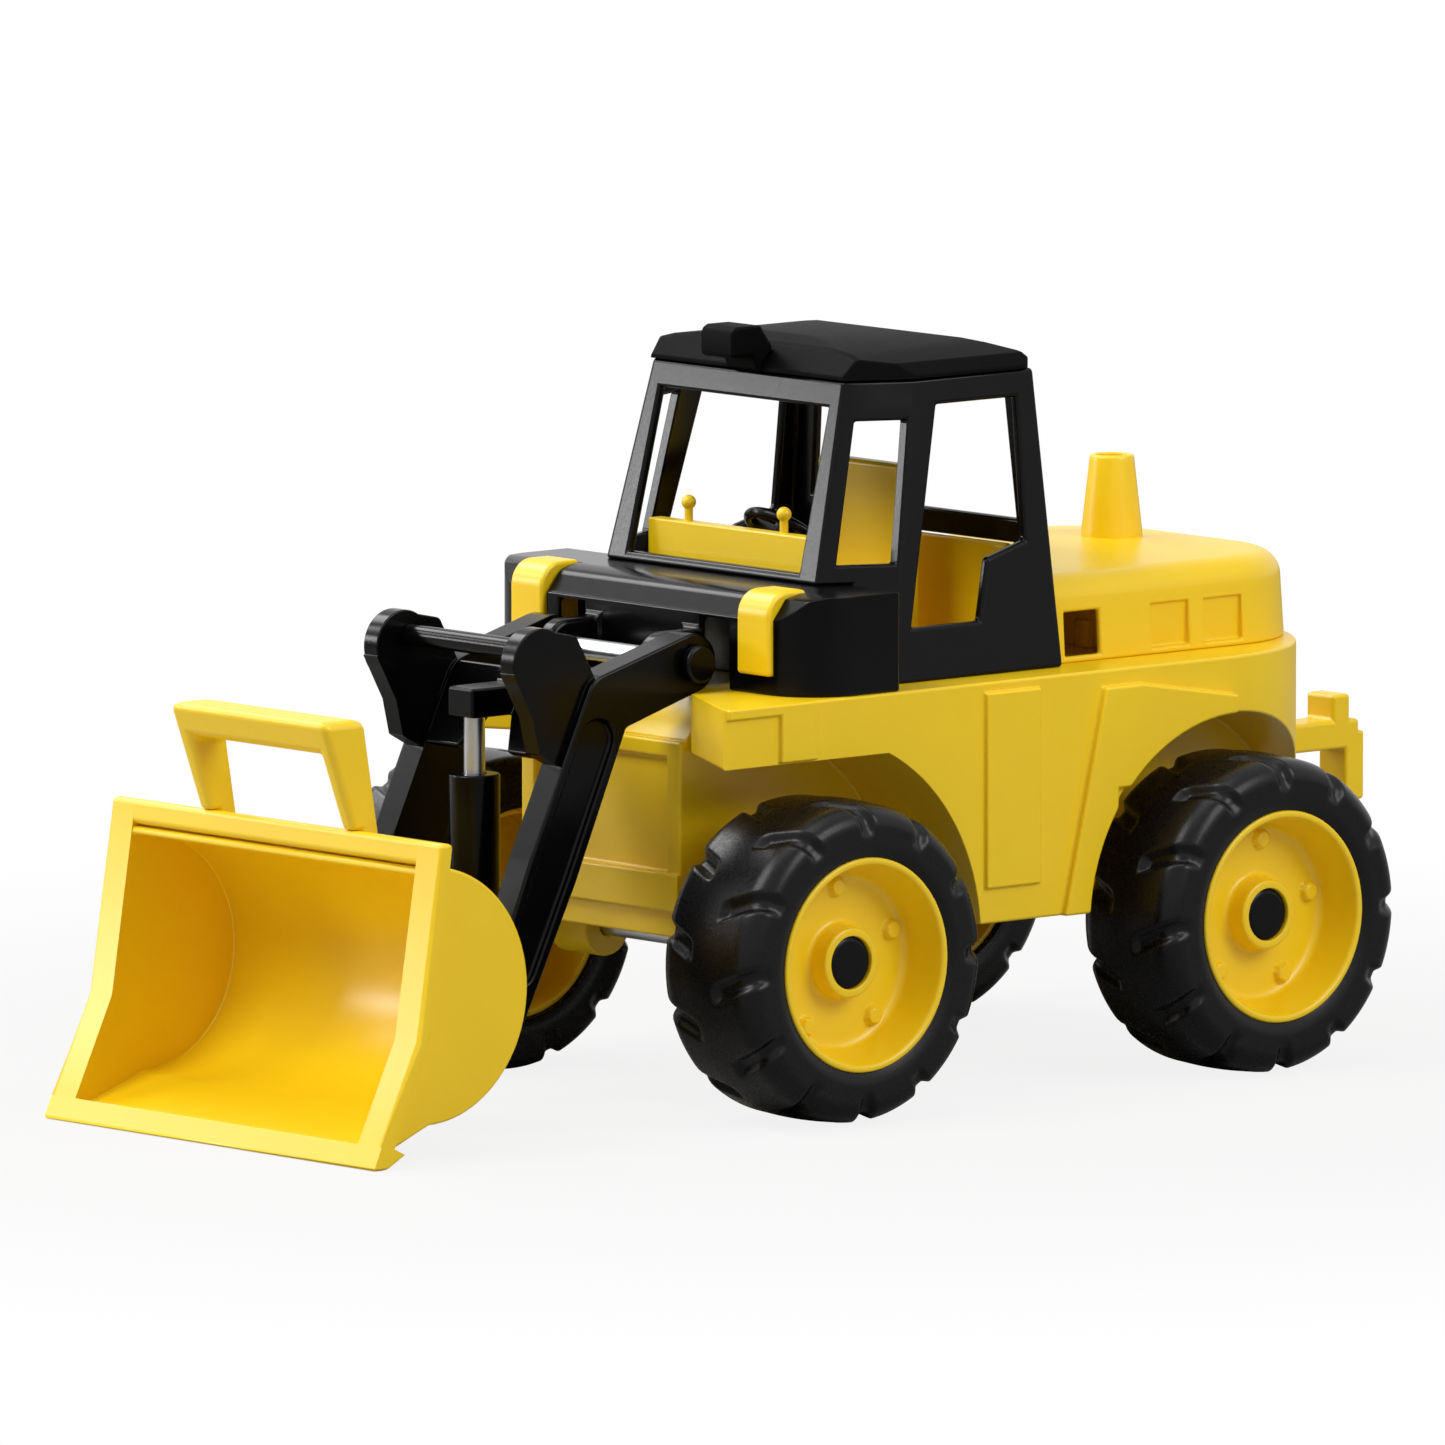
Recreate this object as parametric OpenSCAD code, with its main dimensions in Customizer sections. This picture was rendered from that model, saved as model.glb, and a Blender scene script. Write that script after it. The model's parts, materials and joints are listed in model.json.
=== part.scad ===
// Toy front loader with lifting arms, a tilting bucket, an open cab and four free-rolling wheels.
// Millimetres. The ground is Z = 0, +Z is up, the bucket points to -Y and X is across the machine.
// The origin is on the ground, under the middle of the whole length.

/* [Wheels] */
// Outer radius of a tyre
tyre_r = 75.8; // [73.8:0.1:79]
// Width of a tyre
tyre_w = 65; // [60:1:66]
// Width over the tyres
track_w = 310; // [306:1:324]
// Distance between the axles
wheelbase = 263.4; // [256:0.1:280]
// Rounding of a tyre's shoulders
tyre_shoulder = 15; // [10:1:18]
// Thickness of a tyre's tread
tread_t = 9; // [7:0.5:11]
// Thickness of a tyre's side walls
tyre_wall = 4; // [3:0.5:6]
// Grooves around each shoulder of a tyre
lug_count = 12; // [8:1:14]
// Depth of the tread grooves
groove_d = 4.5; // [2:0.5:5]
// Width of the tread grooves
groove_w = 9; // [6:1:12]
// Outer radius of a rim
rim_r = 50.5; // [47:0.5:53]
// Wall of a rim
rim_wall = 3; // [2:0.5:4]
// How deep the rim's disc lies behind its lip
dish_d = 22; // [18:1:26]
// Radius of the rim's hub
hub_r = 16; // [14.5:0.5:20]
// Radius of the hub caps
hub_cap_r = 12.5; // [11:0.5:13]
// Depth of the hub caps behind the rim's lip
hub_cap_d = 13; // [10:1:14]
// Radius of the small bosses on the rim's disc
rim_boss_r = 4.5; // [3:0.5:6]
// Radius of the axles
axle_r = 4; // [3:0.5:5]

/* [Chassis] */
// Wall of the chassis shell
shell_t = 3.5; // [2.5:0.5:5]
// Height of the chassis underside above the axles
underside_up = 4.5; // [2:0.5:8]
// Height of the chassis from its underside to its deck
chassis_h = 116.5; // [110:0.5:125]
// Half width of the narrow middle of the chassis
spine_hw = 57; // [54:1:60]
// Half width of the mudguards and skirts
guard_hw = 118.5; // [112:0.5:122]
// Height of the mudguard band
guard_h = 28.5; // [22:0.5:34]
// Radius of the front wheel arch
front_arch_r = 103; // [98:1:106]
// Radius of the rear wheel arch
rear_arch_r = 94; // [90:1:98]
// Reach of the mudguards ahead of the front axle
guard_ahead = 57.8; // [52:0.1:62]
// Reach of the front tower ahead of the front axle
tower_ahead = 27; // [23:0.5:31]
// Reach of the body behind the rear axle
tail_behind = 96; // [90:1:104]
// Radius of the rear corners of the body
tail_corner_r = 100; // [80:1:104]
// Reach of the hitch behind the rear axle
hitch_behind = 184.2; // [170:0.1:205]
// Radius of the tow pin hole
tow_hole_r = 4; // [3:0.5:6]

/* [Cab and hoods] */
// Height of the front hood above the deck
front_hood_h = 47; // [42:0.5:52]
// Reach of the front hood ahead of the front axle
hood_ahead = 4.6; // [2:0.1:8]
// Length of the front hood
hood_l = 58.3; // [54:0.1:64]
// Wall of the hoods
hood_t = 3.5; // [2.5:0.5:4.5]
// Length of the cab on the deck
cab_l = 119.9; // [114:0.1:128]
// Height of the cab's pillars above the deck
cab_h = 141.2; // [134:0.1:150]
// Half width of the cab at the deck
cab_hw = 98; // [92:1:102]
// Half width of the cab at the roof
cab_top_hw = 83; // [76:1:88]
// Half width of the cab at the windscreen's foot
cab_nose_hw = 75.5; // [70:0.5:80]
// Wall of the cab frame
cab_t = 5; // [3.5:0.5:6]
// Height of the roof from its edge to its crown
roof_h = 16; // [13:1:20]
// Height of the roof lamp above the roof's crown
lamp_up = 6; // [4:0.5:12]
// Half width of the rear hood
rear_hood_hw = 90; // [80:0.5:94]
// Height of the rear hood above the deck
rear_hood_h = 45; // [38:0.5:52]
// Height of the exhaust stack
exhaust_h = 39; // [28:1:60]
// Radius of the exhaust stack at its foot
exhaust_r = 15; // [12:0.5:18]

/* [Loader] */
// Height of the arm pivot above the deck
pivot_up = 13.7; // [10:0.1:16]
// Distance of the arm pivot ahead of the front axle
pivot_ahead = 23; // [20:0.5:26]
// Forward distance from the arm pivot to the bucket hinge
arm_reach = 117.6; // [106:0.1:132]
// Half distance between the middles of the arms
arm_x = 50; // [48:0.5:52]
// Thickness of an arm
arm_t = 16; // [12:1:17]
// Half height of an arm's beam
arm_hh = 15; // [13:0.5:17]
// Radius of the pivot pin
pivot_pin_r = 5; // [4:0.5:6]
// Radius of the grab bar
grab_r = 5; // [4:0.5:6]
// Radius of the tilt rod
rod_r = 5; // [4:0.5:6]
// Radius of the tilt barrel
barrel_r = 12; // [10.5:0.5:13]

/* [Bucket] */
// Half width of the bucket's rim frame
bucket_hw = 118.8; // [106:0.1:126]
// Wall of the bucket
bucket_t = 3.5; // [2.5:0.5:5]
// Distance from the bucket hinge to the lip
bucket_reach = 131.8; // [124:0.1:140]
// Height of the bucket hinge above the lip
hinge_h = 53; // [49:1:57]
// Radius of the bucket's curved back
bucket_r = 60; // [57:1:63]
// Height of the bucket's rim frame
bucket_h = 148.5; // [142:0.5:158]
// Width of the rim frame's sides
frame_w = 17; // [10:1:18]
// Radius of the bucket hinge pin
hinge_pin_r = 4; // [3:0.5:5]
// Half width of the bucket handle
handle_hw = 55.8; // [45:0.1:62]
// Height of the bucket handle above the rim frame
handle_h = 51.8; // [44:0.1:57]
// Depth of the bucket handle, front to back
handle_d = 24.5; // [18:0.5:27]
// Thickness of the handle's legs
handle_t = 9.5; // [7:0.5:12]

/* [Fits] */
// Radial clearance of pins that turn or slide
run = 0.06; // [0.03:0.01:0.1]
// Gap between faces that turn past each other
side_gap = 0.3; // [0.2:0.05:0.5]
// Clearance each side of the tilt pin in its slot
slot_gap = 1.1; // [1:0.05:1.3]

/* [Hidden] */
$fn = 64;

yellow = [0.98, 0.80, 0.05];
black = [0.08, 0.08, 0.09];
steel = [0.75, 0.76, 0.78];

far = 500;                       // longer than any cut needs to be
eps = 0.02;                      // small overlap that keeps joined solids one piece

// Length and the places of the axles: the origin is in the middle of the whole length
lip_ahead = pivot_ahead + arm_reach + bucket_reach;
overall_l = lip_ahead + wheelbase + hitch_behind;
lip_y = -overall_l / 2;
front_y = lip_y + lip_ahead;
rear_y = front_y + wheelbase;
hitch_y = overall_l / 2;
axle_z = tyre_r;
wheel_x = track_w / 2;
wheel_in = wheel_x - tyre_w;

// Heights of the chassis and the deck
under_z = axle_z + underside_up;
deck_z = under_z + chassis_h;
guard_z = deck_z - guard_h;
tail_under = 38;                 // rise of the tail above the chassis underside
tail_z = under_z + tail_under;
tail_y = rear_y + tail_behind;
tower_y = front_y - tower_ahead;
tower_slope = 22;                // chamfer at the top of the front tower
spine_end = tail_y - 26;

// Hoods and cab
hood_y = front_y - hood_ahead;
hood_back = hood_y + hood_l;
hood_corner = 30;                // plan radius of the front hood's corners
hood_z = deck_z + front_hood_h;
cab_back = hood_back + cab_l;
cab_z = deck_z + cab_h;
screen_y = hood_back - 15.6;     // foot of the windscreen
screen_lean = 23.4;               // how far the windscreen leans back
back_lean = 6;                   // how far the cab's back leans forward
rear_z = deck_z + rear_hood_h;
rear_hood_y = cab_back + 1;
rear_hood_end = tail_y - 2;
rear_corner = rear_hood_hw - 29;
hood_crown = 4.5;                // how steeply the rear hood's top falls to its sides, in degrees
crown_z = cab_z + roof_h;
roof_edge = 2;                   // height of the roof's upright edge
roof_over = 1;                   // how far the roof stands over the pillars
roof_hw = cab_top_hw + roof_over;
roof_front = screen_y + screen_lean - roof_over;
roof_back = cab_back - back_lean + roof_over;
lamp_x = 23;
lamp_y = 19;
overall_h = crown_z + lamp_up;

// Loader linkage
pivot = [front_y - pivot_ahead, deck_z + pivot_up];
hinge = [pivot[0] - arm_reach, hinge_h];
eye_r = arm_hh - 1;
hinge_eye_r = 13;
elbow = pivot + [-52, -15];
knee = hinge + [31, 67];
arm_in = arm_x - arm_t / 2;
arm_out = arm_x + arm_t / 2;
horn_t = arm_t - 6;
horn = pivot + [-91, 6.5];
horn_r = 16.8;
grab = horn + [3, 5];
lever = 32;                      // distance from the bucket hinge to the barrel's line
barrel_y = hinge[0] + lever;
tilt_rest = -7.5;                // angle of the slot at rest
tilt_pin_r = 3;
tilt_pin_z = hinge[1] + lever * tan(tilt_rest);
fork_gap = 5.6;                  // half width of the barrel's fork
lug_t = 10;
barrel_top = pivot[1] - 50;
bore_bottom = tilt_pin_z + 27.2;
fork_top = tilt_pin_z + 22;
socket_z = pivot[1] - 23;
socket_top = pivot[1] - 9;

// Bucket
lip = [lip_y, 0];
bowl = [lip_y + 46, hinge_h + 23];
kink = [lip_y + 27.7, hinge_h + 4.5];
brow = [lip_y + 42.3, bucket_h];
body_top = bowl[1] + bucket_r;
shell_hw = bucket_hw - frame_w + bucket_t;
frame_d = 6;
handle_lean = 19.3;
handle_bar = 16;

// Wheel details
hub_back = wheel_in + 2;
boss_end = hub_back - side_gap;
clip_t = 3;
clip_r = 8.5;
clip_seat = wheel_x - dish_d;
boss_count = 5;

// ---------- helpers ----------

// Extrudes a side view, drawn as (Y, Z), across the machine from x0 to x1.
module across(x0, x1) {
  translate([x0, 0, 0]) rotate([90, 0, 90]) linear_extrude(height = x1 - x0) children();
}

// Extrudes a front view, drawn as (X, Z), along the machine from y0 to y1.
module along(y0, y1) {
  translate([0, y1, 0]) rotate([90, 0, 0]) linear_extrude(height = y1 - y0) children();
}

// Box between two corners.
module block(a, b) {
  translate(a) cube(b - a);
}

// Round bar across the machine at a point of the side view.
module pin_across(at, r, x0, x1) {
  translate([x0, at[0], at[1]]) rotate([0, 90, 0]) cylinder(r = r, h = x1 - x0);
}

// Bar with round ends between two points of a side view.
module link(a, b, ra, rb) {
  d = b - a;
  n = [-d[1], d[0]] / norm(d);
  translate(a) circle(r = ra);
  translate(b) circle(r = rb);
  polygon([a + n * ra, b + n * rb, b - n * rb, a - n * ra]);
}

// Draws its children and their mirror image on the other side of the machine.
module both() {
  children();
  mirror([1, 0, 0]) children();
}

// Puts a wheel part, drawn with its axis on Z and its outer face at track_w / 2, on its axle.
module on_axle(y, side) {
  translate([0, y, axle_z]) mirror([side < 0 ? 1 : 0, 0, 0]) rotate([0, 90, 0]) children();
}

// ---------- chassis ----------

// Outline of the body seen from above, drawn in by t.
module body_plan(t) {
  cx = guard_hw - tail_corner_r;
  cy = tail_y - tail_corner_r;
  slot = spine_hw + 3 + t;
  front = front_y - guard_ahead;
  for (s = [-1, 1]) {
    translate([s * cx, cy]) circle(r = tail_corner_r - t, $fn = 128);
    polygon([
      [s * slot, tower_y + tower_slope + t], [s * slot, tower_y + t],
      [s * (guard_hw - t), front + 2 * t], [s * (guard_hw - t), cy], [0, cy],
      [0, tower_y + tower_slope + t]
    ]);
  }
  translate([-cx, cy]) square([2 * cx, tail_corner_r - t]);
}

// Side view of the mudguards and skirts, drawn in by t, with both wheel arches open.
module body_side(t) {
  front = front_y - guard_ahead - 1;
  low = guard_z + t;
  top = deck_z - t;
  difference() {
    translate([front, under_z + 2]) square([tail_y - front, top - under_z - 2]);
    intersection() {
      translate([front_y, axle_z]) circle(r = front_arch_r + t, $fn = 128);
      translate([front, 0]) square([far, low]);
    }
    translate([front - 1, 0]) square([front_y - front + 1, low]);
    translate([rear_y, axle_z]) circle(r = rear_arch_r + t, $fn = 128);
    translate([rear_y, 0]) square([far, tail_z + t]);
  }
}

// Side view of the narrow middle, drawn in by t, with the sloped top of its front tower.
module spine_side(t) {
  polygon([
    [tower_y + t, under_z], [tower_y + t, deck_z - tower_slope - t / 2],
    [tower_y + tower_slope + t, deck_z - t], [spine_end - t, deck_z - t], [spine_end - t, under_z]
  ]);
}

// Screw places: the front hood, the cab's tub and the rear hood.
screw_x = 44;
front_rib_y = hood_back - 12;
rear_rib_y = rear_hood_y + 62;
screw_ys = [front_rib_y, hood_back + 24, cab_back - 18, rear_rib_y];
screw_r = 2;
screw_boss_r = 5.5;
screw_boss_h = 13;

module chassis() {
  color(yellow) difference() {
    union() {
      difference() {
        union() {
          intersection() {
            translate([0, 0, under_z]) linear_extrude(height = chassis_h) body_plan(0);
            across(-guard_hw - 1, guard_hw + 1) body_side(0);
          }
          across(-spine_hw, spine_hw) spine_side(0);
        }
        intersection() {
          translate([0, 0, under_z - 1]) linear_extrude(height = chassis_h) body_plan(shell_t);
          across(-guard_hw - 1, guard_hw + 1) body_side(shell_t);
        }
        across(-spine_hw + shell_t, spine_hw - shell_t) spine_side(shell_t);
        block([-spine_hw + shell_t, tower_y + shell_t, under_z - 1],
              [spine_hw - shell_t, spine_end - shell_t, under_z + 1]);
        both() block([spine_hw - 20, front_y + front_arch_r + shell_t, under_z + 1],
                     [guard_hw - shell_t, rear_y - rear_arch_r - shell_t, under_z + 3]);
      }
      chassis_front();
      chassis_sides();
      axle_hangers(front_y);
      axle_hangers(rear_y);
    }
    for (y = [front_y, rear_y]) pin_across([y, axle_z], axle_r, -boss_end - 1, boss_end + 1);
    for (x = [-screw_x, screw_x], y = screw_ys)
      translate([x, y, deck_z - shell_t - 1]) cylinder(r = screw_r + 0.3, h = shell_t + 2);
    hitch_bar(hitch_y);
  }
}

// Bumper bar and the frame around the panel on the front tower.
module chassis_front() {
  stand = 6;
  bar_z = under_z + 13;
  bar_h = 18;
  panel_top = deck_z - tower_slope - 1;
  block([-spine_hw, tower_y - stand, bar_z], [spine_hw, tower_y + 1, bar_z + bar_h]);
  frame_y = tower_y - stand + 2;
  block([-spine_hw, frame_y, panel_top - 8], [spine_hw, tower_y + 1, panel_top]);
  both() block([spine_hw - 10, frame_y, bar_z], [spine_hw, tower_y + 1, panel_top]);
}

// Ribs, panels and the flared lip of the rear arch on both sides.
module chassis_sides() {
  stand = 2.5;
  flare = 4;
  rib_y = front_y - 23.4;
  skirt_front = front_y + front_arch_r + 2;
  skirt_rear = rear_y - rear_arch_r - 30;
  arch_front = rear_y - 110;
  both() {
    block([guard_hw - 1, rib_y, guard_z + 1], [guard_hw + stand, rib_y + 23, deck_z]);
    block([guard_hw - 1, skirt_front, under_z + 19], [guard_hw + stand, skirt_rear, deck_z - 5]);
    block([guard_hw - 1, front_y - guard_ahead + 2, deck_z - 5],
          [guard_hw + stand, rib_y, deck_z]);
    intersection() {
      across(guard_hw - 1, guard_hw + flare) difference() {
        polygon([
          [arch_front, under_z + 2], [arch_front + 26, deck_z - 8], [arch_front + 50, deck_z - 8],
          [rear_y, deck_z - 18], [rear_y, under_z + 2]
        ]);
        translate([rear_y, axle_z]) circle(r = rear_arch_r, $fn = 128);
        translate([rear_y - rear_arch_r + 18, 0]) square([far, under_z + 60]);
      }
      translate([0, 0, under_z]) linear_extrude(height = chassis_h)
        translate([0, arch_front - 20]) square([guard_hw + flare, rear_y - arch_front + 20]);
    }
  }
}

// Blocks that carry an axle, with a round boss out to each wheel.
module axle_hangers(y) {
  hang_r = 14;
  hang_h = 30;
  boss_r = 11;
  inner = 30;
  both() {
    across(inner, spine_hw) {
      translate([y, axle_z]) circle(r = hang_r);
      translate([y - hang_r, axle_z]) square([2 * hang_r, underside_up + hang_h]);
    }
    pin_across([y, axle_z], boss_r, spine_hw - 1, boss_end);
  }
}

// ---------- hoods, cab and body fittings ----------

// Plan of the front hood, drawn in by t.
module front_hood_plan(t) {
  corner = hood_corner - t;
  w = guard_hw - 0.5 - t;
  for (s = [-1, 1]) translate([s * (w - corner), hood_y + t + corner]) circle(r = corner);
  translate([-w + corner, hood_y + t]) square([2 * (w - corner), corner + 1]);
  translate([-w, hood_y + t + corner]) square([2 * w, hood_l - 2 * t - corner]);
}

// Side view of the front hood, drawn in by t: a sloped front edge and a flat top.
module front_hood_side(t) {
  top = hood_z - t;
  polygon([
    [hood_y + t, deck_z - 1], [hood_y + t, top - 12], [hood_y + t + 8, top - 2],
    [hood_y + t + 16, top], [hood_back - t, top], [hood_back - t, deck_z - 1]
  ]);
}

// Room for one headlight in the front hood, drawn out by g.
module headlight_shape(g) {
  stand = 2.5;
  round_r = 12;
  y0 = hood_y - stand;
  z0 = deck_z + 9;
  z1 = hood_z + 1.5;
  depth = 24;
  across(-lamp_x / 2 - g, lamp_x / 2 + g) {
    translate([y0 + round_r, z1 - round_r]) circle(r = round_r);
    translate([y0, z0]) square([round_r + 1, z1 - z0 - round_r]);
    translate([y0 + round_r, z0]) square([depth - round_r, z1 - z0]);
  }
}
headlight_x = 81;

module front_hood() {
  color(black) difference() {
    union() {
      difference() {
        intersection() {
          translate([0, 0, deck_z]) linear_extrude(height = far) front_hood_plan(0);
          across(-far, far) front_hood_side(0);
        }
        intersection() {
          translate([0, 0, deck_z - 1]) linear_extrude(height = far) front_hood_plan(hood_t);
          across(-far, far) front_hood_side(hood_t);
        }
      }
      block([-guard_hw + hood_t, front_rib_y - 1.5, deck_z],
            [guard_hw - hood_t, front_rib_y + 1.5, hood_z - hood_t / 2]);
      for (x = [-screw_x, screw_x])
        translate([x, front_rib_y, deck_z]) cylinder(r = screw_boss_r, h = screw_boss_h);
      both() across(arm_in - side_gap - 11, arm_in - side_gap) {
        translate(pivot) circle(r = eye_r - 1);
        translate([pivot[0], pivot[1] - eye_r + 1]) square([hood_y - pivot[0] + 2, 2 * eye_r - 2]);
      }
    }
    both() block([arm_in - side_gap, hood_y - 1, deck_z - 1],
                 [arm_out + 3, hood_y + hood_t + 1, deck_z + 33]);
    both() translate([headlight_x, 0, 0]) headlight_shape(0);
    pin_across(pivot, pivot_pin_r, -far, far);
    for (x = [-screw_x, screw_x])
      translate([x, front_rib_y, deck_z - 1]) cylinder(r = screw_r, h = screw_boss_h - 1);
  }
}

module headlight_left() { color(yellow) translate([headlight_x, 0, 0]) headlight_shape(0); }
module headlight_right() { color(yellow) translate([-headlight_x, 0, 0]) headlight_shape(0); }

// Height of the header over the windows
window_head = 13;

// Side view of the cab, drawn in by t at the front and the back.
module cab_side(t) {
  polygon([
    [screen_y + t, hood_z], [screen_y + screen_lean + t, cab_z + (t > 0 ? 1 : 0)],
    [cab_back - back_lean - t, cab_z + (t > 0 ? 1 : 0)], [cab_back - t, deck_z - (t > 0 ? 1 : 0)],
    [hood_back + t, deck_z - (t > 0 ? 1 : 0)], [hood_back + t, hood_z]
  ]);
}

// Front view of the cab, drawn in by t.
module cab_front(t) {
  lower = deck_z - (t > 0 ? 2 : 0);
  upper = cab_z + (t > 0 ? 2 : 0);
  polygon([
    [-cab_hw + t, lower], [cab_hw - t, lower], [cab_top_hw - t, upper], [-cab_top_hw + t, upper]
  ]);
}

// What lies outside the slanted panels beside the windscreen, grown in by t.
module cab_corners(t) {
  turn = 25.8;
  lean = 10.1;
  both() translate([cab_nose_hw, screen_y, hood_z]) rotate([0, 0, -turn]) rotate([0, -lean, 0])
    translate([-t, -far, -far]) cube([far, 2 * far, 2 * far]);
}

module cab_solid(t) {
  difference() {
    intersection() {
      across(-far, far) cab_side(t);
      along(screen_y - 2, cab_back + 2) cab_front(t);
    }
    cab_corners(t);
  }
}

// Door and quarter windows, drawn as a side view.
module side_windows() {
  head = cab_z - window_head;
  door = hood_back + 27;
  foot = deck_z + 25.5;
  quarter = screen_y + 10;
  low = hood_z + 9;
  polygon([
    [door + 25, head], [cab_back - 18, head], [cab_back - 18.5, deck_z + 61],
    [cab_back - 43, deck_z + 54.5], [cab_back - 50.5, foot], [door, foot]
  ]);
  polygon([[quarter + 16, head - 6], [quarter + 39, head - 6], [quarter + 26.5, low], [quarter, low]]);
}

module cab_frame() {
  head = cab_z - window_head;
  sill = hood_z + 4.5;
  back_sill = deck_z + 69;
  color(black) difference() {
    cab_solid(0);
    cab_solid(cab_t);
    across(-far, far) side_windows();
    along(screen_y - 5, screen_y + screen_lean + 12)
      polygon([[-61, sill], [61, sill], [60, head], [-60, head]]);
    along(cab_back - 20, cab_back + 5)
      polygon([[-72, back_sill], [72, back_sill], [66, head], [-66, head]]);
    block([-70, cab_back - 20, deck_z + 4], [70, cab_back + 5, back_sill - 12]);
  }
}

// Side view of the roof, drawn in by t: a steep front and back and a low crown.
module roof_side(t) {
  low = cab_z - (t > 0 ? 1 : 0);
  polygon([
    [roof_front + t, low], [roof_front + t, cab_z + roof_edge], [roof_front + 10 + t / 2, crown_z - 3 - t],
    [roof_front + 24, crown_z - t], [roof_front + 66, crown_z - t], [roof_back - 18, crown_z - 3 - t],
    [roof_back - 5 - t / 2, cab_z + roof_edge + 6 - t / 2], [roof_back - t, cab_z + roof_edge],
    [roof_back - t, low]
  ]);
}

// Right half of the roof's front view, drawn in by t.
module roof_cross(t) {
  low = cab_z - (t > 0 ? 1 : 0);
  polygon([
    [0, low], [roof_hw - t, low], [roof_hw - t, cab_z + roof_edge],
    [roof_hw - 5 - t / 2, cab_z + roof_edge + 5.5 - t / 2], [roof_hw - 20, crown_z - 4.5 - t],
    [roof_hw - 50, crown_z - 1 - t], [roof_hw - 68, crown_z - t], [0, crown_z - t]
  ]);
}

// Plan of the roof, drawn in by t, with round rear corners.
module roof_plan(t) {
  corner = 10;
  w = roof_hw - t;
  for (s = [-1, 1]) translate([s * (w - corner), roof_back - t - corner]) circle(r = corner);
  translate([-w, roof_front + t]) square([2 * w, roof_back - roof_front - 2 * t - corner]);
  translate([-w + corner, roof_front + t]) square([2 * (w - corner), roof_back - roof_front - 2 * t]);
}

module roof_solid(t) {
  difference() {
    intersection() {
      across(-far, far) roof_side(t);
      both() along(roof_front - 1, roof_back + 1) roof_cross(t);
      translate([0, 0, cab_z - 2]) linear_extrude(height = roof_h + 4) roof_plan(t);
    }
    cab_corners(t - roof_over);
  }
}

module cab_roof() {
  color(black) difference() {
    roof_solid(0);
    roof_solid(hood_t);
  }
}

module roof_lamp() {
  front = roof_front - lamp_y;
  top = overall_h;
  low = top - 15;
  edge = 4;
  color(black) difference() {
    across(-lamp_x / 2, lamp_x / 2) polygon([
      [front, low], [front, top - edge], [front + edge * 0.3, top - edge * 0.3], [front + edge, top],
      [front + lamp_y, top], [roof_front + 14, cab_z + roof_edge], [roof_front + 1, cab_z + 0.5],
      [roof_front - 3, cab_z + 0.5], [roof_front - 5, low]
    ]);
    roof_solid(0);
  }
}

// Floor, dash, seat and rear bulkhead of the driver's place.
column_foot = [hood_back + 5, deck_z + 34];
column_lean = 35;
column_r = 4;
column_l = 42;

module cab_interior() {
  seat_hw = 32;
  floor_hw = cab_hw - cab_t - 7;
  floor_t = 3;
  dash_hw = 52;
  cowl_hw = 60;
  seat_y = hood_back + 52;
  seat_h = 38;
  back_h = 93;
  wall_h = 57;
  wall_hw = 70;
  dash_y = hood_back + cab_t + 0.5;
  dash_z = hood_z + 7;
  cowl_y = screen_y + cab_t + 7;
  cowl_h = 13;
  seat_back = seat_y + 36;
  color(yellow) difference() {
    union() {
      block([-floor_hw, dash_y + 24.5, deck_z], [floor_hw, cab_back - cab_t - 0.5, deck_z + floor_t]);
      block([-dash_hw - 8, dash_y, deck_z], [dash_hw + 8, dash_y + 25.5, deck_z + floor_t]);
      block([-dash_hw, dash_y, deck_z], [dash_hw, dash_y + 5.5, dash_z]);
      block([-dash_hw, cowl_y, hood_z], [dash_hw, dash_y + 5.5, dash_z]);
      block([-cowl_hw, cowl_y, hood_z], [cowl_hw, dash_y - 1, dash_z + cowl_h]);
      difference() {
        block([-seat_hw, seat_y, deck_z], [seat_hw, seat_back, deck_z + seat_h]);
        block([-seat_hw + 4, seat_y + 4, deck_z - 1], [seat_hw - 4, seat_back - 4, deck_z + seat_h - 4]);
      }
      block([-seat_hw, seat_back - 9, deck_z], [seat_hw, seat_back, deck_z + back_h]);
      block([-wall_hw, cab_back - cab_t - 6.5, deck_z],
            [wall_hw, cab_back - cab_t - 2, deck_z + wall_h]);
      for (x = [-screw_x, screw_x], y = [screw_ys[1], screw_ys[2]])
        translate([x, y, deck_z]) cylinder(r = screw_boss_r, h = screw_boss_h);
      for (x = [-34, 34]) translate([x, cowl_y + 4, dash_z + cowl_h - 1]) {
        cylinder(r = 2, h = 10);
        translate([0, 0, 10]) sphere(r = 3.5);
      }
    }
    for (x = [-screw_x, screw_x], y = [screw_ys[1], screw_ys[2]])
      translate([x, y, deck_z - 1]) cylinder(r = screw_r, h = screw_boss_h - 1);
    column_line() translate([0, 0, -6]) cylinder(r = column_r, h = 40);
  }
}

// Places its children on the steering column's axis.
module column_line() {
  translate([0, column_foot[0] + 4, column_foot[1] - 4]) rotate([-column_lean, 0, 0]) children();
}

module steering_column() {
  color(black) column_line() {
    cylinder(r = column_r, h = column_l - 6);
    cylinder(r = column_r - 1.5, h = column_l);
  }
}

module steering_wheel() {
  ring_r = 19;
  ring_t = 2.6;
  hub_h = 6;
  color(black) column_line() translate([0, 0, column_l - 6 + side_gap]) {
    difference() {
      union() {
        cylinder(r = 6, h = hub_h);
        for (a = [90, 210, 330]) rotate([0, 0, a]) translate([4, -2, 1]) cube([ring_r - 4, 4, 3]);
      }
      translate([0, 0, -1]) cylinder(r = column_r - 1.5 + run, h = hub_h + 2);
    }
    translate([0, 0, ring_t]) rotate_extrude() translate([ring_r, 0]) circle(r = ring_t, $fn = 24);
  }
}

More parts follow.
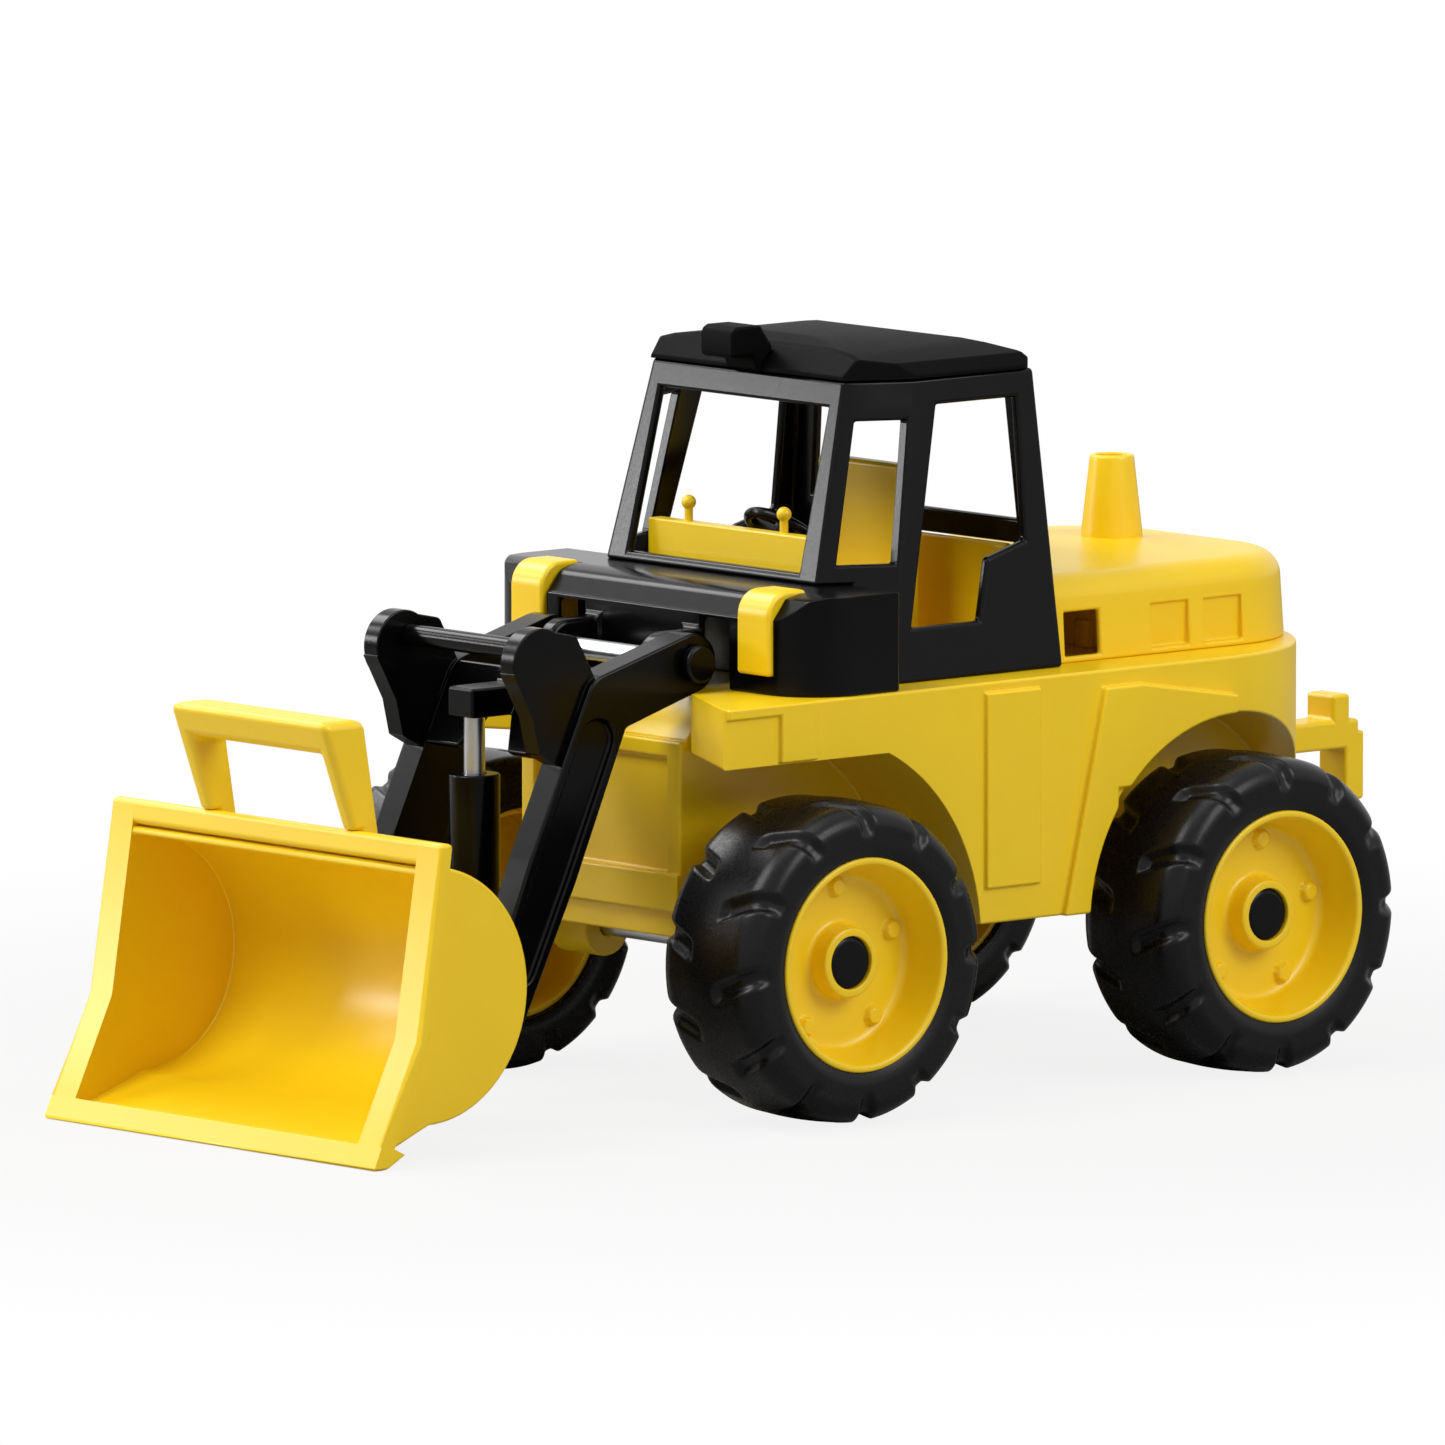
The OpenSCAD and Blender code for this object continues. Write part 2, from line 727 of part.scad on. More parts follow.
// Half section of the rear hood's wall and top, out to r and drawn in by t.
module rear_hood_wall(r, t) {
  shoulder = 13;
  draft = 3;
  foot = deck_z - 20;
  cx = r - draft - shoulder;
  slope = rear_corner - draft - shoulder;
  cz = rear_z - shoulder - slope * tan(hood_crown);
  flat = r - rear_corner;
  translate([cx, cz]) circle(r = shoulder - t);
  polygon(concat(
    [[0, foot], [r - t, foot], [cx + shoulder - t, cz], [cx, cz], [cx, cz + shoulder - t]],
    flat > 0 ? [[flat, rear_z - t]] : [],
    [[0, rear_z - t]]
  ));
}

// The rear hood as a solid, drawn in by t: its top is crowned and its rear corners are round.
module rear_hood_solid(t) {
  cx = rear_hood_hw - rear_corner;
  cy = rear_hood_end - rear_corner;
  intersection() {
    union() {
      both() along(rear_hood_y - 20, cy) rear_hood_wall(rear_hood_hw, t);
      across(-cx, cx) translate([cy, 0]) rear_hood_wall(rear_corner, t);
      both() translate([cx, cy, 0]) rotate_extrude(angle = 90, $fn = 128) rear_hood_wall(rear_corner, t);
    }
    block([-far, rear_hood_y + t, deck_z - (t > 0 ? 1 : 0)], [far, far, far]);
  }
}

module rear_hood() {
  vent_z = deck_z + 3;
  vent_h = 21;
  vent_depth = 5;
  slat_depth = 2.6;
  vent_w = 24;
  vent_ys = [rear_hood_y + 64, rear_hood_y + 98];
  color(yellow) difference() {
    union() {
      difference() {
        rear_hood_solid(0);
        rear_hood_solid(hood_t);
      }
      intersection() {
        rear_hood_solid(hood_t / 2);
        union() {
          block([-far, rear_rib_y - 1.5, deck_z], [far, rear_rib_y + 1.5, far]);
          both() for (y = vent_ys)
            block([rear_hood_hw - vent_depth - hood_t, y - 2, deck_z],
                  [far, y + vent_w + 2, vent_z + vent_h + 2]);
        }
      }
      for (x = [-screw_x, screw_x])
        translate([x, rear_rib_y, deck_z]) cylinder(r = screw_boss_r, h = screw_boss_h);
    }
    for (x = [-screw_x, screw_x])
      translate([x, rear_rib_y, deck_z - 1]) cylinder(r = screw_r, h = screw_boss_h - 1);
    both() {
      block([rear_hood_hw - hood_t - 4, rear_hood_y + 9, vent_z],
            [rear_hood_hw + 1, rear_hood_y + 31, vent_z + vent_h]);
      for (y = vent_ys)
        block([rear_hood_hw - vent_depth, y, vent_z], [rear_hood_hw + 1, y + vent_w, vent_z + vent_h]);
    }
    for (k = [0:4])
      block([-30, rear_hood_end - slat_depth, vent_z + 7 * k], [30, tail_y, vent_z + 7 * k + 3.5]);
    translate([0, exhaust_y, rear_z - hood_t - 2]) cylinder(r = exhaust_spigot_r, h = hood_t + 4);
  }
}
exhaust_y = rear_y + 29;
exhaust_spigot_r = 9;

module exhaust_stack() {
  mouth_r = exhaust_r - 4.5;
  spigot_d = hood_t + 4;
  color(yellow) difference() {
    union() {
      difference() {
        translate([0, exhaust_y, rear_z - 2]) cylinder(r1 = exhaust_r, r2 = mouth_r, h = exhaust_h + 2);
        rear_hood_solid(0);
      }
      translate([0, exhaust_y, rear_z - spigot_d]) cylinder(r = exhaust_spigot_r, h = spigot_d + 4);
    }
    translate([0, exhaust_y, rear_z + 8]) cylinder(r = mouth_r - 3, h = exhaust_h);
  }
}

// The hitch's tongue, which passes through the chassis tail, out to y.
hitch_hw = 10;
hitch_h = 14;
hitch_z = tail_z + 10;
hitch_root = 9;                  // how far the hitch reaches into the tail
module hitch_bar(y) {
  block([-hitch_hw, tail_y - hitch_root, hitch_z], [hitch_hw, y, hitch_z + hitch_h]);
}

module tow_hitch() {
  tow_y = hitch_y - 42;
  collar = 6;
  color(yellow) difference() {
    union() {
      hitch_bar(hitch_y - 3);
      block([-hitch_hw - collar, tail_y - hitch_root, hitch_z - 3],
            [hitch_hw + collar, tail_y - shell_t, hitch_z + hitch_h + 3]);
      block([-hitch_hw, hitch_y - 20, hitch_z], [hitch_hw, hitch_y - 9, hitch_z + hitch_h + 12.5]);
      block([-hitch_hw, hitch_y - 12, hitch_z - 25.5], [hitch_hw, hitch_y, hitch_z + 8]);
    }
    translate([0, tow_y, hitch_z - 1]) cylinder(r = tow_hole_r, h = hitch_h + 2);
  }
}

module body_screws() {
  head_r = 4;
  head_h = 2.6;
  color(steel) for (x = [-screw_x, screw_x], y = screw_ys)
    translate([x, y, deck_z - shell_t - head_h]) {
      cylinder(r = head_r, h = head_h);
      cylinder(r = screw_r, h = head_h + shell_t + screw_boss_h - 4);
    }
}

// ---------- axles and wheels ----------

module axle(y) { color(steel) pin_across([y, axle_z], axle_r, -clip_seat - 4, clip_seat + 4); }
module front_axle() { axle(front_y); }
module rear_axle() { axle(rear_y); }

module axle_clips() {
  color(steel) for (y = [front_y, rear_y]) both() difference() {
    pin_across([y, axle_z], clip_r, clip_seat + side_gap, clip_seat + side_gap + clip_t);
    pin_across([y, axle_z], axle_r, clip_seat, clip_seat + far / 10);
  }
}

// Half section of a tyre: radius across, distance from the machine's middle up.
module tyre_section() {
  s = tyre_shoulder;
  in_r = tyre_r - tread_t;
  difference() {
    union() {
      translate([rim_r, wheel_in]) square([tyre_r - s - rim_r, tyre_w]);
      translate([rim_r, wheel_in + s]) square([tyre_r - rim_r, tyre_w - 2 * s]);
      for (x = [wheel_in + s, wheel_x - s]) translate([tyre_r - s, x]) circle(r = s);
    }
    translate([rim_r - 1, wheel_in + tyre_wall + 2])
      square([in_r - rim_r - 3, tyre_w - 2 * tyre_wall - 4]);
    translate([rim_r - 1, wheel_in + tyre_wall + 8])
      square([in_r - rim_r + 1, tyre_w - 2 * tyre_wall - 16]);
  }
}

module tyre(y, side) {
  skew = 24;
  step = 360 / lug_count;
  color(black) on_axle(y, side) difference() {
    rotate_extrude($fn = 128) tyre_section();
    for (k = [0:lug_count - 1], end = [0, 1]) rotate([0, 0, (k + end / 2) * step])
      translate([tyre_r - groove_d, 0, end == 0 ? wheel_x - 8 : wheel_in + 8])
        rotate([end == 0 ? skew : -skew, 0, 0]) translate([0, -groove_w / 2, -15])
          cube([groove_d + 5, groove_w, 30]);
  }
}

// Half section of a rim with its hub.
module rim_section() {
  lip_x = wheel_x - 0.5;
  disc_x = wheel_x - dish_d;
  inner_r = rim_r - rim_wall;
  difference() {
    union() {
      translate([inner_r, wheel_in + 4]) square([rim_wall, lip_x - wheel_in - 4]);
      polygon([
        [inner_r, lip_x], [inner_r + eps, lip_x], [inner_r + eps, disc_x - 3.5], [inner_r - 6, disc_x - 3.5],
        [inner_r - 6, disc_x]
      ]);
      translate([axle_r + run, disc_x - 3.5]) square([inner_r - 5 - axle_r, 3.5]);
      translate([axle_r + run, hub_back]) square([hub_r - 4 - axle_r, wheel_x - hub_cap_d - hub_back]);
      translate([axle_r + run, disc_x - 8]) square([hub_r - axle_r - run, dish_d - hub_cap_d + 8]);
    }
    translate([0, clip_seat]) square([clip_r + 1, dish_d]);
    translate([0, wheel_x - hub_cap_d - 4]) square([hub_cap_r, dish_d]);
  }
}

module rim(y, side) {
  boss_ring = rim_r - 15.5;
  boss_h = 3.2;
  boss_turn = y == front_y ? 110 : 102;
  color(yellow) on_axle(y, side) {
    rotate_extrude($fn = 128) rim_section();
    for (k = [0:boss_count - 1]) rotate([0, 0, k * 360 / boss_count + boss_turn])
      translate([boss_ring, 0, wheel_x - dish_d - 1]) cylinder(r = rim_boss_r, h = boss_h + 1, $fn = 32);
  }
}

module hub_cap(y, side) {
  color(black) on_axle(y, side) translate([0, 0, wheel_x - hub_cap_d - 4]) {
    cylinder(r = hub_cap_r, h = 3);
    translate([0, 0, 3]) cylinder(r1 = hub_cap_r, r2 = hub_cap_r - 2, h = 1.5);
  }
}

// ---------- loader ----------

module lift_pin() { color(steel) pin_across(pivot, pivot_pin_r, -arm_out - 4, arm_out + 4); }

module lift_pin_caps() {
  color(black) both() difference() {
    pin_across(pivot, pivot_pin_r + 4, arm_out + side_gap, arm_out + 6);
    pin_across(pivot, pivot_pin_r, arm_out, arm_out + 4);
  }
}

// Side view of an arm's beam from the pivot over the elbow to the bucket hinge.
module beam_side() {
  link(pivot, elbow, eye_r, arm_hh - 0.5);
  link(elbow, knee, arm_hh - 0.5, arm_hh + 0.5);
  link(knee, hinge, arm_hh + 0.5, hinge_eye_r);
}

// Side view of the horn that stands forward from the elbow.
module horn_side() {
  translate(horn) circle(r = horn_r);
  polygon([
    horn + [-horn_r, -4], horn + [-5, -25.5], horn + [-1, -42.5], horn + [10, -48.5],
    elbow + [2, 0], elbow + [-6, 13], horn + [22, 11.5], horn + [8, 14.4]
  ]);
}

module lift_arm(side) {
  web = 3;
  color(black) mirror([side < 0 ? 1 : 0, 0, 0]) difference() {
    union() {
      across(arm_in, arm_out) beam_side();
      across(arm_in + 2, arm_in + 2 + horn_t) horn_side();
    }
    across(arm_out - web, arm_out + 1) {
      link(elbow * 0.78 + knee * 0.22, knee, arm_hh - 5, arm_hh - 5);
      link(knee, knee * 0.35 + hinge * 0.65, arm_hh - 5, hinge_eye_r - 4);
    }
    pin_across(pivot, pivot_pin_r + run, 0, far);
    pin_across(hinge, hinge_pin_r, 0, far);
  }
}
module lift_arm_left() { lift_arm(1); }
module lift_arm_right() { lift_arm(-1); }

// Sloped plate between the arms, with an arch for the barrel and a socket for the tilt rod.
bridge_top = elbow + [-7, 13];
bridge_low = elbow + [-29, -24];
socket_wall = 4;
module arm_bridge() {
  n = [0.86, -0.5];
  t = 5;
  arch_hw = 22;
  crown_hw = 9;
  color(black) difference() {
    union() {
      difference() {
        across(-arm_in, arm_in) polygon([bridge_top, bridge_low, bridge_low + n * t, bridge_top + n * t]);
        along(bridge_low[0] - 10, bridge_top[0] + 20)
          polygon([
            [-arch_hw, bridge_low[1] - 9], [arch_hw, bridge_low[1] - 9], [crown_hw, socket_z],
            [-crown_hw, socket_z]
          ]);
      }
      block([-rod_r - socket_wall, barrel_y - rod_r - socket_wall, socket_z],
            [rod_r + socket_wall, bridge_top[0] - 4, socket_top]);
    }
    translate([0, barrel_y, socket_z - 1]) cylinder(r = rod_r, h = socket_top - socket_z - 2);
  }
}

module grab_bar() {
  color(black) pin_across(grab, grab_r, -arm_in - 2, arm_in + 2);
}

module tilt_rod() {
  rod_foot = tilt_pin_z + 53;
  color(steel) translate([0, barrel_y, rod_foot]) cylinder(r = rod_r, h = socket_top - 3 - rod_foot);
}

module tilt_barrel() {
  color(black) difference() {
    translate([0, barrel_y, tilt_pin_z - 9]) cylinder(r = barrel_r, h = barrel_top - tilt_pin_z + 9);
    translate([0, barrel_y, bore_bottom]) cylinder(r = rod_r + run, h = far);
    block([-fork_gap, barrel_y - far / 10, 0], [fork_gap, barrel_y + far / 10, fork_top]);
    pin_across([barrel_y, tilt_pin_z], tilt_pin_r, -far, far);
  }
}

module tilt_pin() {
  color(steel) pin_across([barrel_y, tilt_pin_z], tilt_pin_r, -barrel_r + 1, barrel_r - 1);
}

// ---------- bucket ----------

// Outer side view of the bucket's body.
module bucket_outer() {
  intersection() {
    translate(bowl) circle(r = bucket_r, $fn = 128);
    translate([bowl[0] - 1, 0]) square([bucket_r + 2, far]);
  }
  polygon([
    [brow[0] - 1.6, body_top], [bowl[0], body_top], [bowl[0], bowl[1] - bucket_r], lip + [8, 1.5], lip,
    kink
  ]);
}

// Inner side view of the bucket, open at the front.
module bucket_inner() {
  t = bucket_t;
  translate(bowl) circle(r = bucket_r - t, $fn = 128);
  polygon([
    [brow[0] - 12, body_top - t], [bowl[0], body_top - t], [bowl[0], bowl[1] - bucket_r + t],
    lip + [3, t + 1], lip + [-8, t], kink + [-20, 0]
  ]);
}

module bucket() {
  ear_in = arm_in - side_gap - 10;
  root = bowl + [bucket_r - 9, -12];
  slot_r0 = lever - 1.5;
  slot_r1 = lever / cos(33) + 1.5;
  slot_hh = tilt_pin_r + slot_gap;
  color(yellow) difference() {
    union() {
      difference() {
        across(-shell_hw, shell_hw) bucket_outer();
        across(-shell_hw + bucket_t, shell_hw - bucket_t) bucket_inner();
      }
      bucket_frame();
      difference() {
        both() across(ear_in, arm_in - side_gap) link(root, hinge, 17, 11);
        across(-far, far) bucket_inner();
      }
      difference() {
        across(-lug_t / 2, lug_t / 2) {
          link(root, hinge, 17, 11);
          translate(hinge) rotate(tilt_rest) link([0, 0], [slot_r1 - 1, 0], 11, 9.5);
        }
        across(-far, far) bucket_inner();
      }
    }
    pin_across(hinge, hinge_pin_r + run, -far, far);
    across(-lug_t, lug_t) translate(hinge) rotate(tilt_rest)
      link([slot_r0, 0], [slot_r1, 0], slot_hh, slot_hh);
  }
}

// Rim frame around the bucket's mouth.
module bucket_frame() {
  d = [frame_d, 0];
  both() across(bucket_hw - frame_w, bucket_hw)
    polygon([brow, kink, lip, lip + [9, 0], kink + d, brow + d]);
  across(-bucket_hw, bucket_hw) {
    polygon([brow, brow + [-1.6, -10.5], brow + [frame_d - 1.6, -12.5], brow + d]);
    polygon([lip, lip + [5.2, 11], lip + [14, 9], lip + [20, 6], lip + [9, 0]]);
  }
}

module bucket_handle() {
  top = bucket_h + handle_h;
  front = brow[0] + 0.5;
  root_z = body_top - 14;
  back = front - handle_lean + handle_d;
  side = [
    [front, bucket_h - 1], [front - handle_lean, top], [back, top],
    [front + handle_d - 6, root_z], [front, root_z]
  ];
  color(yellow) difference() {
    across(-handle_hw, handle_hw) polygon(side);
    block([-handle_hw + handle_t, -far, 0], [handle_hw - handle_t, 0, top - handle_bar]);
    across(-far, far) bucket_outer();
    across(-far, far) polygon([
      brow + [0, 0], brow + [-4, -25], brow + [frame_d - 1.6, -25], brow + [frame_d, 0]
    ]);
  }
}

module bucket_pin() { color(steel) pin_across(hinge, hinge_pin_r, -arm_out - 3, arm_out + 3); }

module bucket_pin_caps() {
  color(black) both() difference() {
    pin_across(hinge, hinge_pin_r + 4, arm_out, arm_out + 5);
    pin_across(hinge, hinge_pin_r, arm_out - 1, arm_out + 3);
  }
}

// ---------- drawing ----------

chassis();
front_hood();
headlight_left();
headlight_right();
cab_frame();
cab_roof();
roof_lamp();
cab_interior();
steering_column();
steering_wheel();
rear_hood();
exhaust_stack();
tow_hitch();
front_axle();
rear_axle();
axle_clips();
body_screws();
lift_pin();
lift_pin_caps();
lift_arm_left();
lift_arm_right();
arm_bridge();
grab_bar();
tilt_rod();
tilt_barrel();
tilt_pin();
bucket();
bucket_handle();
bucket_pin();
bucket_pin_caps();
tyre(front_y, 1);  // tyre_front_left
tyre(front_y, -1);  // tyre_front_right
tyre(rear_y, 1);  // tyre_rear_left
tyre(rear_y, -1);  // tyre_rear_right
rim(front_y, 1);  // rim_front_left
rim(front_y, -1);  // rim_front_right
rim(rear_y, 1);  // rim_rear_left
rim(rear_y, -1);  // rim_rear_right
hub_cap(front_y, 1);  // hub_cap_front_left
hub_cap(front_y, -1);  // hub_cap_front_right
hub_cap(rear_y, 1);  // hub_cap_rear_left
hub_cap(rear_y, -1);  // hub_cap_rear_right
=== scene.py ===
"""Toy front loader: moulded skins, wheels, finishes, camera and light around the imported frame."""
import json
import logging
import math
from dataclasses import dataclass, field
from enum import Enum
from typing import Any, Callable

import bmesh
import bpy
import numpy as np
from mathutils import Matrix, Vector
from mathutils.bvhtree import BVHTree

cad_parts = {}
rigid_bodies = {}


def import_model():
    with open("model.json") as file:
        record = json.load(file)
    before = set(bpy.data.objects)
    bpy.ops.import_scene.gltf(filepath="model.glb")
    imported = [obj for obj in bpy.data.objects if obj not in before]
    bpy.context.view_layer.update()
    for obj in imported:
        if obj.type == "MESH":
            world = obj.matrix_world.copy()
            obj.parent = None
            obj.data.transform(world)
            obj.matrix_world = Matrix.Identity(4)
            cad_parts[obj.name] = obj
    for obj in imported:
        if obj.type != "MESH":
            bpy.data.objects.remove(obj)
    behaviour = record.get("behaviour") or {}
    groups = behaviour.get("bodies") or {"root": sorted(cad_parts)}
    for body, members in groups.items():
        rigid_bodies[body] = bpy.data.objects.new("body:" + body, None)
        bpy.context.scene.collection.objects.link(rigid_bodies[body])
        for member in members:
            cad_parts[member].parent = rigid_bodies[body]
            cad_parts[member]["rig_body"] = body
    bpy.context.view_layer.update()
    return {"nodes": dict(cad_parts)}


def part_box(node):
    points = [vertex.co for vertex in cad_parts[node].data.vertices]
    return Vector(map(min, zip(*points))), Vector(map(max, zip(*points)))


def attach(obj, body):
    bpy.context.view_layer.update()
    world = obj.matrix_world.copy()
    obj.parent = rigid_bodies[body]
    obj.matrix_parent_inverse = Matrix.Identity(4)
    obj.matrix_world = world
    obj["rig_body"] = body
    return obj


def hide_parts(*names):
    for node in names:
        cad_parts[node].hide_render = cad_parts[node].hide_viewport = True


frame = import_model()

LOG = logging.getLogger("front_loader")
MM = 0.001
NODES: dict[str, bpy.types.Object] = frame["nodes"]

Point = tuple[float, float, float]
Array = np.ndarray


class Slot(Enum):
    """Material slots of the record."""

    YELLOW = "yellow_plastic"
    BLACK = "black_plastic"
    TYRE = "tyre_plastic"
    STEEL = "steel"


# ---------- finishes ----------


def linear(hex_colour: str) -> tuple[float, float, float, float]:
    """Turn an sRGB hex value into a linear colour.

    Args:
        hex_colour: Six hex digits with a leading hash.

    Returns:
        Linear red, green, blue and an alpha of one.
    """
    c = np.array([int(hex_colour[i : i + 2], 16) for i in (1, 3, 5)]) / 255.0
    low, high = c / 12.92, ((c + 0.055) / 1.055) ** 2.4
    return (*np.where(c <= 0.04045, low, high).tolist(), 1.0)


def add_node(tree: bpy.types.NodeTree, kind: str, inputs: dict[Any, Any] | None = None,
             **settings: Any) -> bpy.types.Node:
    """Add a node with its settings, socket values and links.

    Args:
        tree: The node tree that takes the node.
        kind: Blender's name of the node type.
        inputs: Socket name or number to a value, or to an output socket that feeds it.
        settings: Properties of the node itself.

    Returns:
        The new node.
    """
    made = tree.nodes.new(kind)
    for key, value in settings.items():
        setattr(made, key, value)
    for key, value in (inputs or {}).items():
        if isinstance(value, bpy.types.NodeSocket):
            tree.links.new(value, made.inputs[key])
        else:
            made.inputs[key].default_value = value
    return made


def new_material(name: str) -> tuple[bpy.types.Material, bpy.types.NodeTree]:
    """Make an empty node material.

    Args:
        name: Name of the real material and how it was made.

    Returns:
        The material and its node tree.
    """
    material = bpy.data.materials.new(name)
    material.use_nodes = True
    material.node_tree.nodes.clear()
    return material, material.node_tree


@dataclass(frozen=True)
class MouldedPlastic:
    """Injection or blow moulded plastic: one colour right through, a soft gloss and faint flow marks."""

    name: str
    colour: str
    flow_colour: str
    roughness: float
    roughness_spread: float
    ior: float
    specular: float
    flow_mm: float
    grain_mm: float
    grain_depth_mm: float

    def build(self) -> bpy.types.Material:
        """Build the node tree: flow marks tint the colour, and fine grain moves roughness and bump."""
        material, tree = new_material(self.name)
        place = add_node(tree, "ShaderNodeTexCoord").outputs["Object"]
        flow = add_node(tree, "ShaderNodeTexNoise", {"Vector": place, "Scale": 1 / (self.flow_mm * MM),
                                                     "Detail": 3.0, "Roughness": 0.55})
        grain = add_node(tree, "ShaderNodeTexNoise", {"Vector": place, "Scale": 1 / (self.grain_mm * MM),
                                                      "Detail": 2.0, "Roughness": 0.5})
        tint = add_node(tree, "ShaderNodeMix", {"Factor": flow.outputs["Fac"], 6: linear(self.colour),
                                                7: linear(self.flow_colour)}, data_type="RGBA")
        rough = add_node(tree, "ShaderNodeMapRange", {
            "Value": grain.outputs["Fac"], "From Min": 0.3, "From Max": 0.7,
            "To Min": self.roughness - self.roughness_spread,
            "To Max": self.roughness + self.roughness_spread})
        bump = add_node(tree, "ShaderNodeBump", {"Height": grain.outputs["Fac"], "Strength": 0.5,
                                                 "Distance": self.grain_depth_mm * MM})
        shader = add_node(tree, "ShaderNodeBsdfPrincipled", {
            "Base Color": tint.outputs[2], "Roughness": rough.outputs[0], "Normal": bump.outputs[0],
            "IOR": self.ior, "Specular IOR Level": self.specular})
        add_node(tree, "ShaderNodeOutputMaterial", {"Surface": shader.outputs[0]})
        return material


@dataclass(frozen=True)
class PlatedSteel:
    """Zinc-plated steel wire and rod: pale grey metal with fine lengthwise drawing lines."""

    name: str
    colour: str
    roughness: float
    line_mm: float

    def build(self) -> bpy.types.Material:
        """Build the node tree: stretched noise gives the drawing lines in roughness and bump."""
        material, tree = new_material(self.name)
        place = add_node(tree, "ShaderNodeTexCoord").outputs["Object"]
        turned = add_node(tree, "ShaderNodeMapping", {"Vector": place, "Scale": (0.04, 1.0, 1.0)})
        lines = add_node(tree, "ShaderNodeTexNoise", {"Vector": turned.outputs[0],
                                                      "Scale": 1 / (self.line_mm * MM), "Detail": 2.0})
        rough = add_node(tree, "ShaderNodeMapRange", {"Value": lines.outputs["Fac"],
                                                      "To Min": self.roughness - 0.08,
                                                      "To Max": self.roughness + 0.1})
        bump = add_node(tree, "ShaderNodeBump", {"Height": lines.outputs["Fac"], "Strength": 0.2,
                                                 "Distance": 0.05 * MM})
        shader = add_node(tree, "ShaderNodeBsdfPrincipled", {
            "Base Color": linear(self.colour), "Metallic": 1.0, "Roughness": rough.outputs[0],
            "Normal": bump.outputs[0]})
        add_node(tree, "ShaderNodeOutputMaterial", {"Surface": shader.outputs[0]})
        return material


# Glossy polypropylene: an even warm yellow with clean soft highlights on its rounded edges.
YELLOW = MouldedPlastic("Injection_moulded_polypropylene_yellow", "#F6D012", "#F1C70D", 0.33, 0.02, 1.49, 0.5,
                        38.0, 0.9, 0.007)
# The same plastic in carbon black: nearly black, so its form is read from its reflections.
BLACK = MouldedPlastic("Injection_moulded_polypropylene_black", "#030304", "#060607", 0.2, 0.03, 1.49, 0.15,
                       38.0, 0.9, 0.01)
# The roof's black: its mould is sandblasted, so it stays dark where the smooth black mirrors the room.
SATIN_BLACK = MouldedPlastic("Injection_moulded_polypropylene_black_satin", "#030304", "#060607", 0.55, 0.03,
                             1.49, 0.04, 38.0, 0.9, 0.02)
# Blow-moulded polyethylene tyres: softer and a little greyer than the body's black.
TYRE = MouldedPlastic("Blow_moulded_polyethylene_black", "#060608", "#09090C", 0.3, 0.05, 1.51, 0.2,
                      22.0, 1.4, 0.03)
# Drawn and zinc-plated steel: the axles, pins, clips and screws.
STEEL = PlatedSteel("Drawn_zinc_plated_steel", "#B9BCC0", 0.3, 0.5)

FINISHES = {Slot.YELLOW: YELLOW, Slot.BLACK: BLACK, Slot.TYRE: TYRE, Slot.STEEL: STEEL}
BUILT: dict[str, bpy.types.Material] = {}


def made_once(finish: MouldedPlastic | PlatedSteel) -> bpy.types.Material:
    """The built material of a finish, made once."""
    if finish.name not in BUILT:
        BUILT[finish.name] = finish.build()
    return BUILT[finish.name]


# ---------- surfaces from arrays ----------


@dataclass
class Surface:
    """Vertices in metres and quads, worked out as whole arrays."""

    points: Array
    quads: Array


def grid_surface(points: Array, wrap_u: bool, wrap_v: bool) -> Surface:
    """Join a grid of points with quads.

    Args:
        points: Array of shape (rows, columns, 3).
        wrap_u: Whether the last row joins the first.
        wrap_v: Whether the last column joins the first.

    Returns:
        The surface. Quad (i, j) takes points (i, j), (i+1, j), (i+1, j+1) and (i, j+1).
    """
    rows, cols = points.shape[:2]
    i, j = np.meshgrid(np.arange(rows if wrap_u else rows - 1), np.arange(cols if wrap_v else cols - 1),
                       indexing="ij")
    i2, j2 = (i + 1) % rows, (j + 1) % cols
    quads = np.stack([i * cols + j, i2 * cols + j, i2 * cols + j2, i * cols + j2], -1).reshape(-1, 4)
    return Surface(points.reshape(-1, 3), quads)


def softened(corners: Array, radii: Array, steps: int = 5) -> Array:
    """Round the corners of a closed outline.

    Each corner P becomes the quadratic curve (1-t)^2 A + 2t(1-t) P + t^2 B, where A and B lie one
    radius along its two sides, or less where a side is short.

    Args:
        corners: Array of shape (k, 2).
        radii: Array of k radii.
        steps: Points on each corner.

    Returns:
        Array of shape (k * steps, 2).
    """
    back, ahead = np.roll(corners, 1, 0) - corners, np.roll(corners, -1, 0) - corners
    len_b, len_a = (np.linalg.norm(v, axis=1, keepdims=True) for v in (back, ahead))
    reach = np.minimum(radii[:, None], 0.48 * np.minimum(len_b, len_a))
    t = np.linspace(0, 1, steps)[None, :, None]
    a, b = (corners + v / n * reach for v, n in ((back, len_b), (ahead, len_a)))
    curve = (1 - t) ** 2 * a[:, None] + 2 * t * (1 - t) * corners[:, None] + t**2 * b[:, None]
    return curve.reshape(-1, 2)


def evenly(outline: Array, step: float) -> Array:
    """Add points along a closed outline so that no side is longer than step.

    Args:
        outline: Array of shape (k, 2).
        step: Longest side that stays.

    Returns:
        The outline at equal steps of its own length, with its own points kept where sides are short.
    """
    closed = np.vstack([outline, outline[:1]])
    sides = np.linalg.norm(np.diff(closed, axis=0), axis=1)
    keep = np.concatenate([[0], np.cumsum(sides)])
    extra = np.maximum(np.ceil(sides / step).astype(int), 1)
    where = np.concatenate([keep[:-1, None].repeat(extra.max(), 1) + sides[:, None]
                            * np.arange(extra.max())[None] / extra[:, None]])
    mask = np.arange(extra.max())[None] < extra[:, None]
    s = where[mask]
    return np.stack([np.interp(s, keep, closed[:, k]) for k in (0, 1)], 1)


